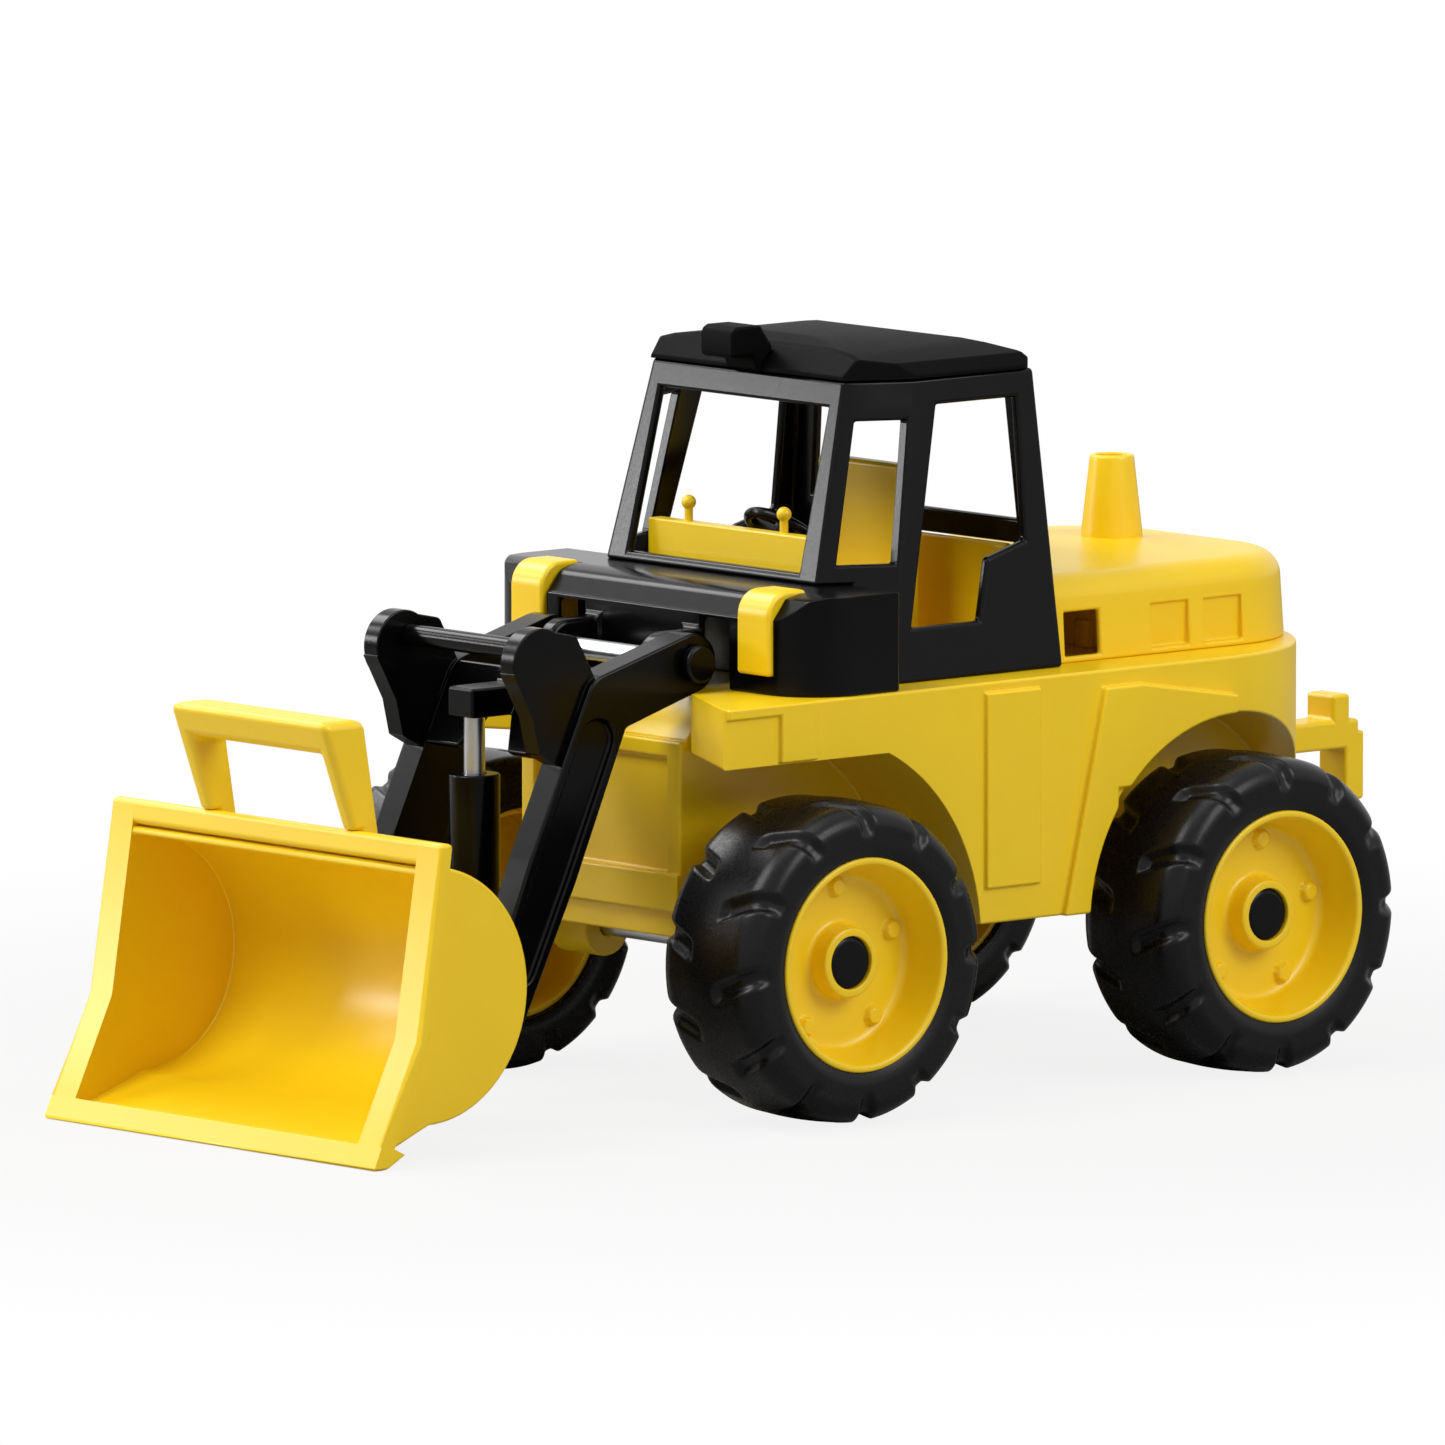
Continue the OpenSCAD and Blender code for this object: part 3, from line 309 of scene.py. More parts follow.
def revolved(section: Array, turns: int, side: int, centre: Array,
             lift: Callable[[Array, Array, Array], tuple[Array, Array]] | None = None) -> Surface:
    """Carry a closed section round the wheel's axis.

    A point (r, x) of the section at angle a lands at (side * x, y0 + r cos a, z0 + r sin a).

    Args:
        section: Array of shape (k, 2) of radius and distance from the machine's middle, in metres.
        turns: Steps round the axis.
        side: 1 on the left of the machine and -1 on the right.
        centre: Y and Z of the axis.
        lift: Given angles, radii and distances, returns the changed radii and distances.

    Returns:
        The closed surface.
    """
    angle = np.linspace(0, 2 * np.pi, turns, endpoint=False)[:, None]
    r, x = (np.broadcast_to(section[None, :, k], (turns, len(section))) for k in (0, 1))
    if lift:
        r, x = lift(np.broadcast_to(angle, r.shape), r, x)
    points = np.stack([side * x, centre[0] + r * np.cos(angle), centre[1] + r * np.sin(angle)], -1)
    return grid_surface(points, True, True)


def smoothstep(low: float, high: float, value: Array) -> Array:
    """0 below low, 1 above high and 3t^2 - 2t^3 between them."""
    t = np.clip((value - low) / (high - low), 0, 1)
    return t * t * (3 - 2 * t)


# ---------- pieces ----------


def finished(obj: bpy.types.Object, slot: Slot, *nodes: str,
             finish: MouldedPlastic | None = None) -> bpy.types.Object:
    """Dress a piece, let it ride on its CAD body and stand for its CAD nodes.

    Args:
        obj: The piece, with its place in its mesh.
        slot: The material slot it takes its finish from.
        nodes: The CAD nodes that it stands for.
        finish: A variant of the slot's finish.

    Returns:
        The same piece.
    """
    obj.data.materials.clear()
    obj.data.materials.append(made_once(finish or FINISHES[slot]))
    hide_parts(*nodes)
    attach(obj, NODES[nodes[0]]["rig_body"])
    LOG.info("%s stands for %s", obj.name, ", ".join(nodes))
    return obj


def piece_from(name: str, surface: Surface, smooth_deg: float = 40.0) -> bpy.types.Object:
    """Make an object from a surface, with outward faces and smooth shading.

    Args:
        name: Name of the piece.
        surface: Its vertices and quads.
        smooth_deg: Edges sharper than this stay crisp.

    Returns:
        The object at the origin.
    """
    mesh = bpy.data.meshes.new(name)
    mesh.from_pydata(surface.points.tolist(), [], surface.quads.tolist())
    work = bmesh.new()
    work.from_mesh(mesh)
    bmesh.ops.remove_doubles(work, verts=work.verts, dist=0.002 * MM)
    bmesh.ops.recalc_face_normals(work, faces=work.faces)
    work.to_mesh(mesh)
    work.free()
    mesh.shade_smooth()
    mesh.set_sharp_from_angle(angle=math.radians(smooth_deg))
    obj = bpy.data.objects.new(name, mesh)
    bpy.context.scene.collection.objects.link(obj)
    return obj


def room_in_face(loop: bmesh.types.BMLoop, rounded: set[int]) -> float:
    """How far a rounding can reach from an edge across one of its faces.

    Rays run across the face from places along the edge, square to it, and the nearest side that one
    crosses gives the room. At an end where the face's corner has the angle t, the room is the shorter
    side times tan(t / 2) if the side there is rounded too, and that side times sin(t) if it isn't.

    Args:
        loop: The edge's place in the face.
        rounded: Numbers of the edges that get a rounding.

    Returns:
        The least distance found, in metres.
    """
    sides = list(loop.face.loops)
    at = sides.index(loop)
    ring = np.array([side.vert.co for side in sides[at:] + sides[:at]])
    run = ring[1] - ring[0]
    length = max(float(np.linalg.norm(run)), 1e-9)
    along = run / length
    across = np.cross(np.array(loop.face.normal), along)
    p = np.stack([(ring - ring[0]) @ along, (ring - ring[0]) @ across], 1)
    least = 1.0
    for corner, ahead, side in ((1, 2 % len(ring), loop.link_loop_next), (0, -1, loop.link_loop_prev)):
        u, v = (p[ahead] - p[corner]) * (-1 if corner else 1, 1)
        turn = math.atan2(v, u) % (2 * math.pi)
        if turn < math.radians(178):
            other = math.hypot(u, v)
            if side.edge.index in rounded:
                least = min(least, min(length, other) * math.tan(turn / 2))
            else:
                least = min(least, other * math.sin(turn))
    a, b = p[2:-1], p[3:]
    if len(a):
        inside = p[2:, 0][(p[2:, 0] > 0.01 * length) & (p[2:, 0] < 0.99 * length)]
        s = np.concatenate([length * np.linspace(0.1, 0.9, 5), inside + 1e-7, inside - 1e-7])[:, None]
        hit = (s > np.minimum(a[:, 0], b[:, 0])) & (s < np.maximum(a[:, 0], b[:, 0]))
        rise = np.where(np.abs(b[:, 0] - a[:, 0]) < 1e-9, 1e-9, b[:, 0] - a[:, 0])
        height = a[:, 1] + (b[:, 1] - a[:, 1]) / rise * (s - a[:, 0])
        least = min(least, float(np.where(hit & (height > 0), height, 1.0).min()))
    return least


def smooth_chains(edges: list[bmesh.types.BMEdge], turn_deg: float = 35.0) -> Array:
    """Number the edges so that those that run on smoothly into one another share a number.

    Args:
        edges: The edges that get a rounding.
        turn_deg: The sharpest turn that still counts as smooth.

    Returns:
        One chain number for each edge.
    """
    place = {edge.index: k for k, edge in enumerate(edges)}
    chain = list(range(len(edges)))

    def root(k: int) -> int:
        """The first edge of a chain."""
        while chain[k] != k:
            k = chain[k]
        return k

    for edge in edges:
        for vert in edge.verts:
            here = (edge.other_vert(vert).co - vert.co).normalized()
            for other in vert.link_edges:
                if other.index in place and other is not edge:
                    there = (other.other_vert(vert).co - vert.co).normalized()
                    if here.dot(there) < -math.cos(math.radians(turn_deg)):
                        chain[root(place[edge.index])] = root(place[other.index])
    return np.array([root(k) for k in range(len(edges))])


@dataclass(frozen=True)
class MouldedSkin:
    """A CAD node's own shape with its edges rounded as a mould rounds them."""

    node: str
    slot: Slot
    radius_mm: float = 1.5
    segments: int = 3
    sharp_deg: float = 28.0
    finish: MouldedPlastic | None = None
    tries: int = 7
    room_share: float = 0.45
    ease: float = 0.55
    least_share: float = 0.06

    def welded(self) -> bmesh.types.BMesh:
        """A copy of the CAD mesh with its triangles joined and its flat faces merged."""
        work = bmesh.new()
        work.from_mesh(NODES[self.node].data)
        bmesh.ops.remove_doubles(work, verts=work.verts, dist=0.01 * MM)
        bmesh.ops.dissolve_degenerate(work, edges=work.edges, dist=0.02 * MM)
        bmesh.ops.dissolve_limit(work, angle_limit=math.radians(0.8), verts=work.verts, edges=work.edges)
        work.normal_update()
        work.edges.index_update()
        return work

    @staticmethod
    def weigh(obj: bpy.types.Object, index: Array, share: Array) -> None:
        """Give each numbered edge its share of the full rounding."""
        weights = np.zeros(len(obj.data.edges), np.float32)
        weights[index] = share
        obj.data.attributes["bevel_weight_edge"].data.foreach_set("value", weights)
        obj.data.update()

    def strayed(self, obj: bpy.types.Object, cad: BVHTree, index: Array, share: Array) -> list[Vector]:
        """Places where the rounded mesh leaves the CAD surface or turns its face inwards.

        Args:
            obj: The piece with its modifier.
            cad: The CAD surface.
            index: Numbers of the edges that are rounded.
            share: Each edge's share of the full rounding.

        Returns:
            One point for each fault.
        """
        self.weigh(obj, index, share)
        shown = obj.evaluated_get(bpy.context.evaluated_depsgraph_get())
        mesh = shown.to_mesh()
        limit = 0.9 * self.radius_mm * MM
        faults = []
        for face in mesh.polygons:
            near = cad.find_nearest(face.center)
            if face.area > 1e-9 and near[1].dot(face.normal) < -0.2:
                faults.append(face.center.copy())
        faults += [v.co.copy() for v in mesh.vertices if cad.find_nearest(v.co)[3] > limit]
        shown.to_mesh_clear()
        return faults

    def build(self) -> bpy.types.Object:
        """Round the edges by the room that each has, and by less where the rounding would fold."""
        work = self.welded()
        width = self.radius_mm * MM
        edges = [e for e in work.edges if len(e.link_faces) == 2
                 and math.radians(self.sharp_deg) < e.calc_face_angle(0.0) < math.radians(150)]
        rounded = {e.index for e in edges}
        chains = smooth_chains(edges)
        room = np.array([min(room_in_face(loop, rounded) for loop in e.link_loops) for e in edges])
        least = np.full(len(edges), 1.0)
        np.minimum.at(least, chains, room)
        share = np.minimum(1.0, self.room_share * least[chains] / width)
        index = np.array([e.index for e in edges])
        ends = np.array([[v.co[:] for v in e.verts] for e in edges])
        cad = BVHTree.FromBMesh(work)
        mesh = bpy.data.meshes.new(self.node + "_skin")
        work.to_mesh(mesh)
        work.free()
        for name in ("custom_normal", "sharp_face"):
            if name in mesh.attributes:
                mesh.attributes.remove(mesh.attributes[name])
        mesh.shade_smooth()
        mesh.set_sharp_from_angle(angle=math.radians(self.sharp_deg))
        mesh.attributes.new("bevel_weight_edge", "FLOAT", "EDGE")
        obj = bpy.data.objects.new(self.node + "_skin", mesh)
        bpy.context.scene.collection.objects.link(obj)
        bevel = obj.modifiers.new("Moulded edges", "BEVEL")
        bevel.limit_method, bevel.offset_type, bevel.loop_slide = "WEIGHT", "OFFSET", False
        bevel.width, bevel.segments, bevel.profile = width, self.segments, 0.5
        bevel.use_clamp_overlap, bevel.harden_normals = False, True
        best, kept = math.inf, share.copy()
        for _ in range(self.tries):
            share[share < self.least_share] = 0.0
            faults = self.strayed(obj, cad, index, share)
            if len(faults) < best:
                best, kept = len(faults), share.copy()
            if not faults:
                break
            a, run = ends[:, 0], ends[:, 1] - ends[:, 0]
            size = np.maximum((run**2).sum(1), 1e-14)
            near = set()
            for fault in np.array(faults):
                t = np.clip(((fault - a) * run).sum(1) / size, 0, 1)
                away = np.linalg.norm(a + run * t[:, None] - fault, axis=1)
                away[share == 0] = 1.0
                near |= set(chains[away < away.min() + 0.3 * width].tolist())
            share[np.isin(chains, list(near))] *= self.ease
        self.weigh(obj, index, kept)
        return finished(obj, self.slot, self.node, finish=self.finish)


class Side(Enum):
    """The machine's sides; left is +X."""

    LEFT = 1
    RIGHT = -1


@dataclass
class Wheel:
    """A blow-moulded tyre on a deep-dished rim with a hub cap, sized from the CAD's own boxes."""

    place: str
    side: Side
    lugs: int = 12
    groove_mm: float = 8.0
    groove_deep_mm: float = 3.6
    groove_soft_mm: float = 2.4
    groove_reach_mm: float = 27.0
    groove_fade_mm: float = 6.0
    groove_low_mm: tuple[float, float] = (17.0, 8.0)
    skew: float = 0.42
    bead_mm: float = 4.5
    bead_inset_mm: float = 1.5
    shoulder_mm: float = 7.0
    shoulder_drop_mm: float = 1.2
    crown_half_mm: float = 6.0
    lip_inset_mm: float = 0.5
    lip_mm: float = 3.2
    slope_mm: float = 9.0
    wall_mm: float = 3.5
    barrel_mm: float = 3.0
    barrel_back_mm: float = 4.0
    dish_mm: float = 22.0
    hub_mm: float = 16.5
    hub_rise_mm: float = 1.0
    bore_mm: float = 4.1
    sleeve_mm: float = 12.0
    sleeve_back_mm: float = 2.0
    sleeve_root_mm: float = 8.0
    cap_edge_mm: float = 2.0
    bosses: int = 5
    boss_ring_mm: float = 35.0
    boss_mm: float = 4.6
    boss_high_mm: float = 3.2
    boss_turn: float = 20.0
    turns: int = 432
    rim_turns: int = 250
    cap_turns: int = 96
    centre: Array = field(init=False)

    def __post_init__(self) -> None:
        """Take the axis, the radii and the faces from the CAD nodes' boxes."""
        low, high = (np.array(v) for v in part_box(f"tyre_{self.place}"))
        self.centre = (low[1:] + high[1:]) / 2
        self.radius = (high[2] - low[2]) / 2
        self.face = max(abs(low[0]), abs(high[0]))
        self.back = min(abs(low[0]), abs(high[0]))
        rim_low, rim_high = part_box(f"rim_{self.place}")
        self.rim_radius = (rim_high.z - rim_low.z) / 2
        cap_low, cap_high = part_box(f"hub_cap_{self.place}")
        self.cap_radius = (cap_high.z - cap_low.z) / 2
        self.cap_face = max(abs(cap_low.x), abs(cap_high.x))
        self.cap_back = min(abs(cap_low.x), abs(cap_high.x))

    def groove(self, angle: Array, r: Array, x: Array) -> tuple[Array, Array]:
        """Cut skewed grooves into both shoulders.

        The cut is deep * band * reach along the section's outward direction: band is 1 within half a
        groove's width of the groove's middle, reach is 1 from the shoulder to the groove's end, and the
        cut fades out down the wall. At the crown it goes straight in, and at the wall it leans sideways.

        Args:
            angle: Angles round the axis.
            r: Radii.
            x: Distances from the machine's middle.

        Returns:
            The changed radii and distances.
        """
        middle, half = (self.face + self.back) / 2, (self.face - self.back) / 2
        across = x - middle
        step = 2 * np.pi / self.lugs
        cut = np.zeros_like(r)
        for end in (1, -1):
            inwards = half - end * across
            bent = angle + (0 if end > 0 else step / 2) - self.skew * inwards / self.radius
            off = np.abs((bent + step / 2) % step - step / 2) * self.radius
            width = self.groove_mm * MM / 2
            soft = self.groove_soft_mm * MM
            band = 1 - smoothstep(width - soft, width + soft, off)
            fade = (self.groove_reach_mm - self.groove_fade_mm) * MM
            reach = 1 - smoothstep(fade, self.groove_reach_mm * MM, inwards)
            cut = np.maximum(cut, band * reach)
        start, full = (self.radius - depth * MM for depth in self.groove_low_mm)
        cut = cut * smoothstep(start, full, r) * self.groove_deep_mm * MM
        lean = np.clip(across / half, -1, 1) ** 5
        return r - cut * (1 - 0.35 * np.abs(lean)), x - cut * 0.6 * lean

    def tyre(self) -> bpy.types.Object:
        """The tyre: round shoulders, a nearly flat crown and soft grooves."""
        rim, top, out, back = self.rim_radius, self.radius, self.face, self.back
        bead, inset, crown = self.bead_mm * MM, self.bead_inset_mm * MM, self.crown_half_mm * MM
        shoulder, drop, middle = self.shoulder_mm * MM, self.shoulder_drop_mm * MM, (out + back) / 2
        corners = np.array([
            (rim, out - inset), (rim + bead, out), (top - shoulder, out), (top - drop, out - shoulder),
            (top, middle + crown), (top, middle - crown),
            (top - drop, back + shoulder), (top - shoulder, back), (rim + bead, back), (rim, back + inset)])
        radii = np.array([0.5, 3, 12, 10, 6, 6, 10, 12, 3, 0.5]) * MM
        section = evenly(softened(corners, radii, 7), 1.2 * MM)
        surface = revolved(section, self.turns, self.side.value, self.centre, self.groove)
        return finished(piece_from(f"tyre_{self.place}_skin", surface, 60), Slot.TYRE, f"tyre_{self.place}")

    def boss(self, angle: Array, r: Array, x: Array) -> tuple[Array, Array]:
        """Raise round bosses on the disc: high where a point lies within a boss's radius of its middle."""
        step = 2 * np.pi / self.bosses
        turn = (angle - math.radians(self.boss_turn) + step / 2) % step - step / 2
        ring = self.boss_ring_mm * MM
        away = np.hypot(r * np.cos(turn) - ring, r * np.sin(turn))
        disc = self.face - self.dish_mm * MM
        on_disc = (np.abs(x - disc) < 4 * MM) & (x > disc - 1 * MM)
        raised = 1 - smoothstep((self.boss_mm - 0.9) * MM, (self.boss_mm + 0.3) * MM, away)
        return r, x + np.where(on_disc, raised * self.boss_high_mm * MM, 0)

    def rim(self) -> bpy.types.Object:
        """The rim: a rolled lip, a sloping dish wall, a flat disc with bosses and a raised hub."""
        out, disc = self.face - self.lip_inset_mm * MM, self.face - self.dish_mm * MM
        rim, hub, bore, cap = self.rim_radius, self.hub_mm * MM, self.bore_mm * MM, self.cap_radius
        slope, under = rim - self.slope_mm * MM, disc - self.wall_mm * MM
        inner, back = rim - self.barrel_mm * MM, self.back + self.barrel_back_mm * MM
        hub_face, sleeve = self.cap_face + self.hub_rise_mm * MM, self.sleeve_mm * MM
        sleeve_back = self.back + self.sleeve_back_mm * MM
        corners = np.array([
            (rim, back), (rim, out), (rim - self.lip_mm * MM, out), (slope, disc),
            (hub + 1 * MM, disc), (hub, hub_face), (cap, hub_face), (cap, self.cap_back),
            (bore, self.cap_back), (bore, sleeve_back), (sleeve, sleeve_back),
            (sleeve, disc - self.sleeve_root_mm * MM), (slope, under), (inner, under), (inner, back)])
        radii = np.array([1, 1.6, 1.6, 4, 3, 1.6, 0.8, 0.1, 0.1, 0.5, 1, 1, 1, 1, 1]) * MM
        section = evenly(softened(corners, radii, 6), 0.9 * MM)
        surface = revolved(section, self.rim_turns, self.side.value, self.centre, self.boss)
        return finished(piece_from(f"rim_{self.place}_skin", surface, 50), Slot.YELLOW, f"rim_{self.place}")

    def hub_cap(self) -> bpy.types.Object:
        """The press-in cap: a shallow dome with a rounded edge."""
        r, face, back = self.cap_radius, self.cap_face, self.cap_back
        edge = self.cap_edge_mm * MM
        corners = np.array([(0, back), (r, back), (r, face - edge / 2), (r - edge, face), (0, face)])
        section = evenly(softened(corners, np.array([0, 0.3, 1, 1.5, 0]) * MM, 5), 1.2 * MM)
        surface = revolved(section, self.cap_turns, self.side.value, self.centre)
        name = f"hub_cap_{self.place}"
        return finished(piece_from(f"{name}_skin", surface), Slot.BLACK, name)

    def build(self) -> None:
        """Make the wheel's three visible pieces."""
        self.tyre()
        self.rim()
        self.hub_cap()


@dataclass
class Exhaust:
    """The tapered exhaust stack on the rear hood, open at its mouth."""

    turns: int = 96
    bore_deep_mm: float = 30.0
    spigot_mm: float = 6.4
    spigot_inset_mm: float = 6.0
    mouth_mm: float = 10.5
    wall_mm: float = 3.0
    foot_mm: float = 2.0
    foot_sink_mm: float = 1.5

    def build(self) -> None:
        """Carry a softened section round the stack's upright axis."""
        low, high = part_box("exhaust_stack")
        hood_top = low.z + self.spigot_mm * MM
        centre = np.array([(low.x + high.x) / 2, (low.y + high.y) / 2])
        foot, mouth, top = (high.x - low.x) / 2, self.mouth_mm * MM, high.z
        spigot, bore = foot - self.spigot_inset_mm * MM, mouth - self.wall_mm * MM
        bore_end = top - self.bore_deep_mm * MM
        corners = np.array([
            (spigot, low.z), (spigot, hood_top), (foot, hood_top - self.foot_sink_mm * MM),
            (foot, hood_top + self.foot_mm * MM), (mouth, top), (bore, top),
            (bore, bore_end), (0, bore_end), (0, low.z)])
        section = evenly(softened(corners, np.array([0.5, 0.1, 0.5, 1.5, 1.6, 1.0, 1, 0, 0]) * MM, 5), 2 * MM)
        angle = np.linspace(0, 2 * np.pi, self.turns, endpoint=False)[:, None]
        r, z = (np.broadcast_to(section[None, :, k], (self.turns, len(section))) for k in (0, 1))
        points = np.stack([centre[0] + r * np.cos(angle), centre[1] + r * np.sin(angle), z], -1)
        finished(piece_from("exhaust_stack_skin", grid_surface(points, True, True)), Slot.YELLOW,
                 "exhaust_stack")


@dataclass
class Body:
    """Chassis, hoods, cab, driver's place and hitch: the CAD's own shapes with moulded edges."""

    skins: tuple[MouldedSkin, ...] = (
        MouldedSkin("chassis", Slot.YELLOW, 1.6),
        MouldedSkin("front_hood", Slot.BLACK, 3.0),
        MouldedSkin("headlight_left", Slot.YELLOW, 2.0),
        MouldedSkin("headlight_right", Slot.YELLOW, 2.0),
        MouldedSkin("cab_frame", Slot.BLACK, 2.0, 4),
        MouldedSkin("cab_roof", Slot.BLACK, 5.0, 5, 10.0, SATIN_BLACK),
        MouldedSkin("roof_lamp", Slot.BLACK, 2.5, finish=SATIN_BLACK),
        MouldedSkin("cab_interior", Slot.YELLOW, 2.5),
        MouldedSkin("steering_column", Slot.BLACK, 0.6),
        MouldedSkin("steering_wheel", Slot.BLACK, 0.8),
        MouldedSkin("rear_hood", Slot.YELLOW, 1.5),
        MouldedSkin("tow_hitch", Slot.YELLOW, 2.0),
    )

    def build(self) -> None:
        """Make each skin."""
        for skin in self.skins:
            skin.build()
        Exhaust().build()


@dataclass
class Loader:
    """Lift arms, bridge, tilt strut and the pins' caps."""

    skins: tuple[MouldedSkin, ...] = (
        MouldedSkin("lift_arm_left", Slot.BLACK, 2.0),
        MouldedSkin("lift_arm_right", Slot.BLACK, 2.0),
        MouldedSkin("arm_bridge", Slot.BLACK, 1.5),
        MouldedSkin("grab_bar", Slot.BLACK, 1.0),
        MouldedSkin("tilt_barrel", Slot.BLACK, 1.2),
        MouldedSkin("lift_pin_caps", Slot.BLACK, 1.5),
        MouldedSkin("bucket_pin_caps", Slot.BLACK, 1.5),
    )

    def build(self) -> None:
        """Make each skin."""
        for skin in self.skins:
            skin.build()


@dataclass
class Bucket:
    """The scoop with its rim frame and handle."""

    skins: tuple[MouldedSkin, ...] = (
        MouldedSkin("bucket", Slot.YELLOW, 2.2),
        MouldedSkin("bucket_handle", Slot.YELLOW, 4.5, 5),
    )

    def build(self) -> None:
        """Make each skin."""
        for skin in self.skins:
            skin.build()


@dataclass
class Hardware:
    """Axles, pins, rod, clips and screws, which keep their CAD shape."""

    nodes: tuple[str, ...] = ("front_axle", "rear_axle", "axle_clips", "body_screws", "lift_pin", "tilt_rod",
                              "tilt_pin", "bucket_pin")

    def build(self) -> None:
        """Give each CAD node the plated steel finish."""
        for name in self.nodes:
            obj = NODES[name]
            if not obj.material_slots:
                obj.data.materials.append(made_once(STEEL))
            for place in obj.material_slots:
                place.material = made_once(STEEL)
            LOG.info("%s keeps its CAD shape", name)


# ---------- studio ----------


@dataclass(frozen=True)
class Lamp:
    """A square softbox aimed at the object."""

    name: str
    azimuth: float
    elevation: float
    distance: float
    size: float
    power: float

    def build(self, aim: Vector) -> None:
        """Hang the lamp at its azimuth and elevation, looking at aim."""
        a, e = math.radians(self.azimuth), math.radians(self.elevation)
        towards = Vector((math.sin(a) * math.cos(e), -math.cos(a) * math.cos(e), math.sin(e)))
        data = bpy.data.lights.new(self.name, "AREA")
        data.shape, data.size, data.energy = "SQUARE", self.size, self.power
        lamp = bpy.data.objects.new(self.name, data)
        lamp.location = aim + towards * self.distance
        lamp.rotation_mode = "QUATERNION"
        lamp.rotation_quaternion = (-towards).to_track_quat("-Z", "Y")
        bpy.context.scene.collection.objects.link(lamp)


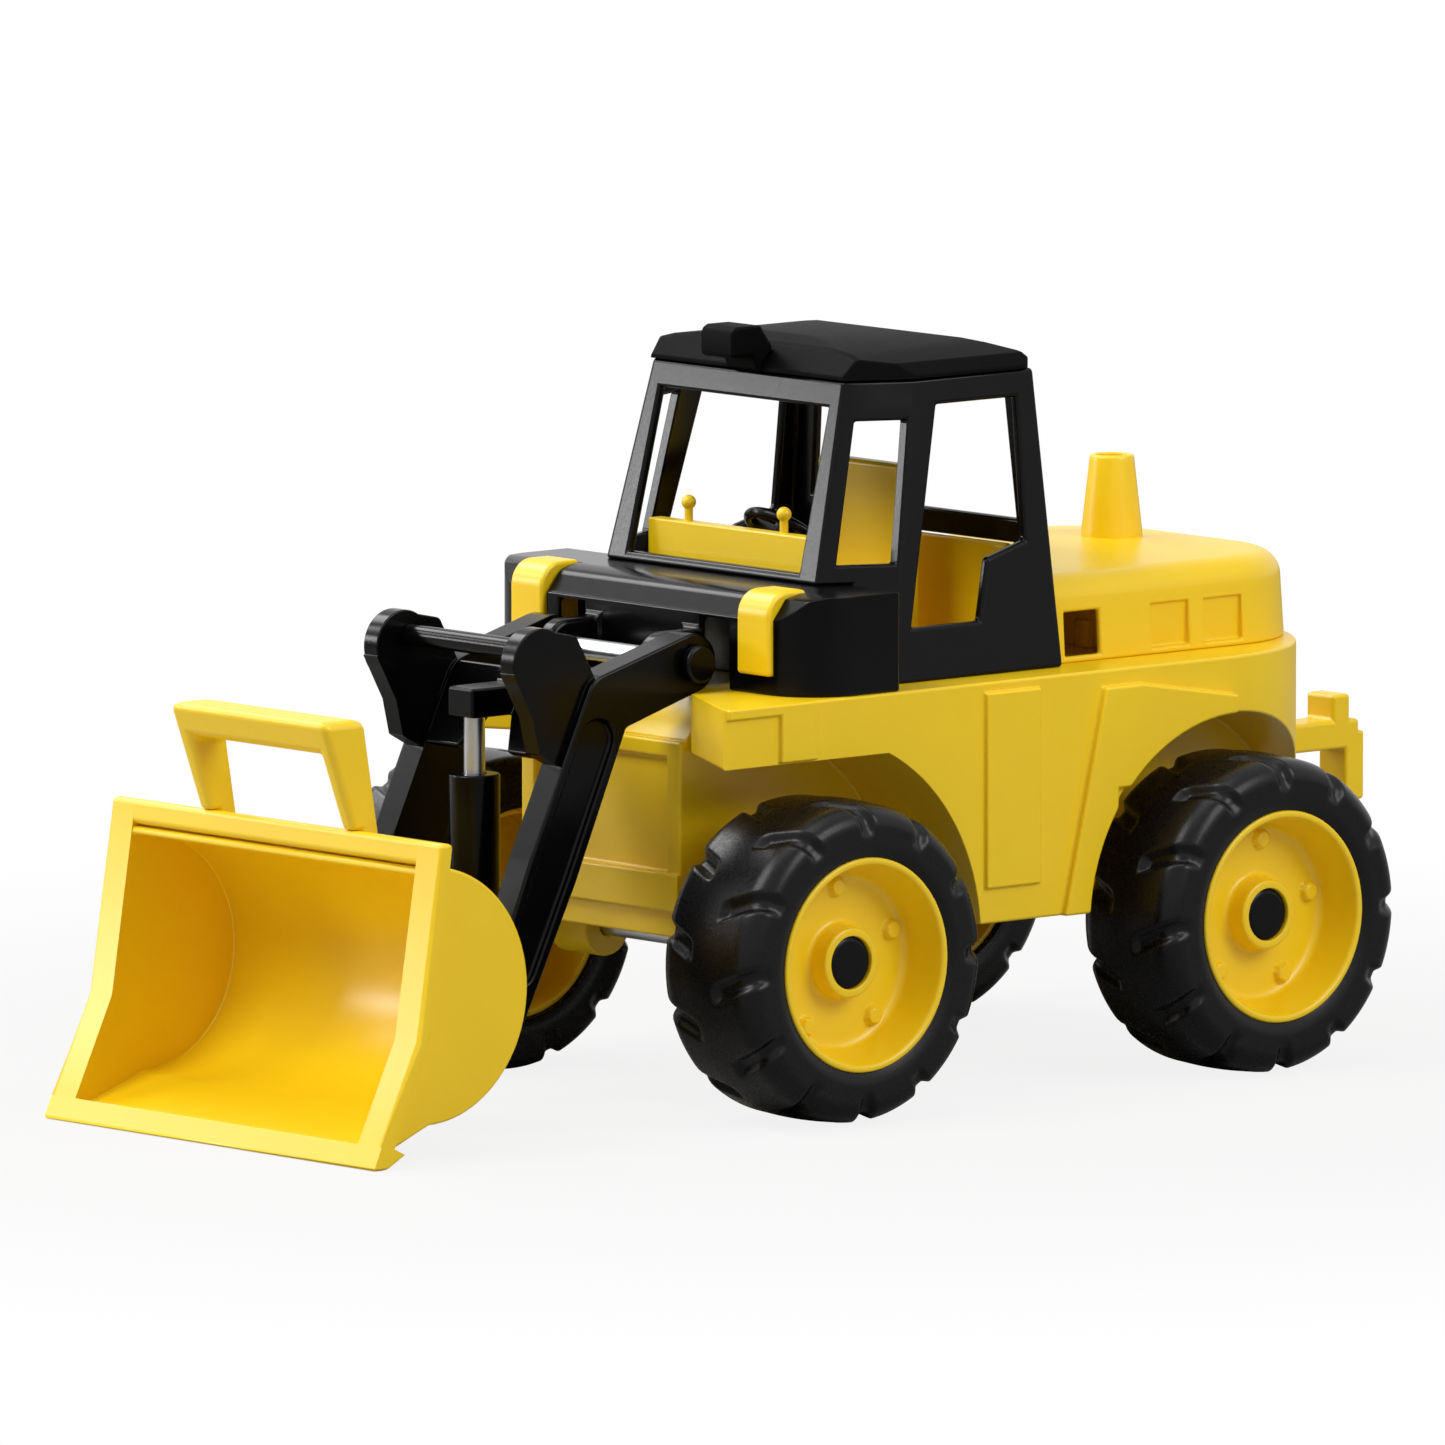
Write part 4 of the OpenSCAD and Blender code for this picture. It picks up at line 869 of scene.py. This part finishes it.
@dataclass(frozen=True)
class Studio:
    """White room: camera, softboxes, world and floor."""

    azimuth: float = 48.768
    elevation: float = 7.0405
    distance: float = 12.0
    view_width: float = 0.68255
    aim: Point = (0.0, 0.0, 0.15)
    aim_right: float = -0.03167
    aim_up: float = 0.01820
    world_level: float = 0.23
    floor_colour: str = "#B4B4B2"
    floor_glow: float = 0.86
    shadow_reach: tuple[float, float] = (0.42, 0.95)
    floor_half: float = 30.0
    floor_level: float = -0.0002
    lamps: tuple[Lamp, ...] = (
        Lamp("key_softbox", -12, 48, 2.6, 1.3, 43),
        Lamp("low_softbox", -50, 12, 2.6, 0.4, 11),
        Lamp("left_softbox", -62, 28, 2.7, 0.5, 9),
        Lamp("tread_softbox", -86, 42, 2.7, 0.9, 20),
        Lamp("side_softbox", 106, 34, 2.8, 1.5, 40),
        Lamp("top_softbox", 60, 82, 2.4, 1.2, 10),
    )

    def camera(self) -> None:
        """A long lens far away, so that the view is nearly parallel, as the product shot's is."""
        a, e = math.radians(self.azimuth), math.radians(self.elevation)
        right = Vector((math.cos(a), math.sin(a), 0))
        up = Vector((-math.sin(a) * math.sin(e), math.cos(a) * math.sin(e), math.cos(e)))
        back = Vector((math.sin(a) * math.cos(e), -math.cos(a) * math.cos(e), math.sin(e)))
        data = bpy.data.cameras.new("camera")
        data.sensor_width = 36.0
        data.lens = data.sensor_width * self.distance / self.view_width
        data.clip_start, data.clip_end = 0.1, 100.0
        camera = bpy.data.objects.new("camera", data)
        target = Vector(self.aim) + right * self.aim_right + up * self.aim_up
        camera.location = target + back * self.distance
        camera.rotation_mode = "QUATERNION"
        camera.rotation_quaternion = (-back).to_track_quat("-Z", "Y")
        bpy.context.scene.collection.objects.link(camera)
        bpy.context.scene.camera = camera

    def world(self) -> None:
        """White where camera, mirror and glass rays look, and a soft even level for light."""
        world = bpy.data.worlds.new("white_room")
        bpy.context.scene.world = world
        world.use_nodes = True
        tree = world.node_tree
        tree.nodes.clear()
        path = add_node(tree, "ShaderNodeLightPath")
        seen = add_node(tree, "ShaderNodeMath", {0: path.outputs["Is Camera Ray"],
                                                 1: path.outputs["Is Glossy Ray"]}, operation="MAXIMUM")
        seen = add_node(tree, "ShaderNodeMath", {0: seen.outputs[0],
                                                 1: path.outputs["Is Transmission Ray"]}, operation="MAXIMUM")
        soft = add_node(tree, "ShaderNodeBackground", {"Color": (1, 1, 1, 1), "Strength": self.world_level})
        white = add_node(tree, "ShaderNodeBackground", {"Color": (1, 1, 1, 1), "Strength": 1.0})
        mix = add_node(tree, "ShaderNodeMixShader", {0: seen.outputs[0], 1: soft.outputs[0],
                                                     2: white.outputs[0]})
        add_node(tree, "ShaderNodeOutputWorld", {"Surface": mix.outputs[0]})

    def floor(self) -> None:
        """A large pale sheet that keeps a light shadow under the wheels."""
        u = np.linspace(-self.floor_half, self.floor_half, 9)
        x, y = np.meshgrid(u, u, indexing="ij")
        surface = grid_surface(np.stack([x, y, np.full_like(x, self.floor_level)], -1), False, False)
        obj = piece_from("floor", surface)
        material, tree = new_material("Matt_white_paper_sheet")
        path = add_node(tree, "ShaderNodeLightPath")
        place = add_node(tree, "ShaderNodeTexCoord").outputs["Object"]
        away = add_node(tree, "ShaderNodeVectorMath", {0: place}, operation="LENGTH")
        near, far = self.shadow_reach
        glow = add_node(tree, "ShaderNodeMapRange", {
            "Value": away.outputs["Value"], "From Min": near, "From Max": far,
            "To Min": self.floor_glow, "To Max": 1.0}, interpolation_type="SMOOTHSTEP")
        glow = add_node(tree, "ShaderNodeMath", {0: path.outputs["Is Camera Ray"], 1: glow.outputs[0]},
                        operation="MULTIPLY")
        paper = add_node(tree, "ShaderNodeBsdfDiffuse", {"Color": linear(self.floor_colour)})
        white = add_node(tree, "ShaderNodeEmission", {"Color": (1, 1, 1, 1), "Strength": 1.0})
        mix = add_node(tree, "ShaderNodeMixShader", {0: glow.outputs[0], 1: paper.outputs[0],
                                                     2: white.outputs[0]})
        add_node(tree, "ShaderNodeOutputMaterial", {"Surface": mix.outputs[0]})
        obj.data.materials.append(material)

    def build(self) -> None:
        """Set up camera, world, floor and lamps."""
        bpy.context.scene.view_settings.view_transform = "Standard"
        self.camera()
        self.world()
        self.floor()
        for lamp in self.lamps:
            lamp.build(Vector(self.aim))


def main() -> None:
    """Build every sub-assembly in order."""
    logging.basicConfig(level=logging.INFO, format="%(name)s: %(message)s")
    Studio().build()
    Body().build()
    Loader().build()
    Bucket().build()
    for place, side, boss_turn in (("front_left", Side.LEFT, 20.0), ("front_right", Side.RIGHT, 20.0),
                                   ("rear_left", Side.LEFT, 12.0), ("rear_right", Side.RIGHT, 12.0)):
        Wheel(place, side, boss_turn=boss_turn).build()
    Hardware().build()


if __name__ == "__main__":
    main()
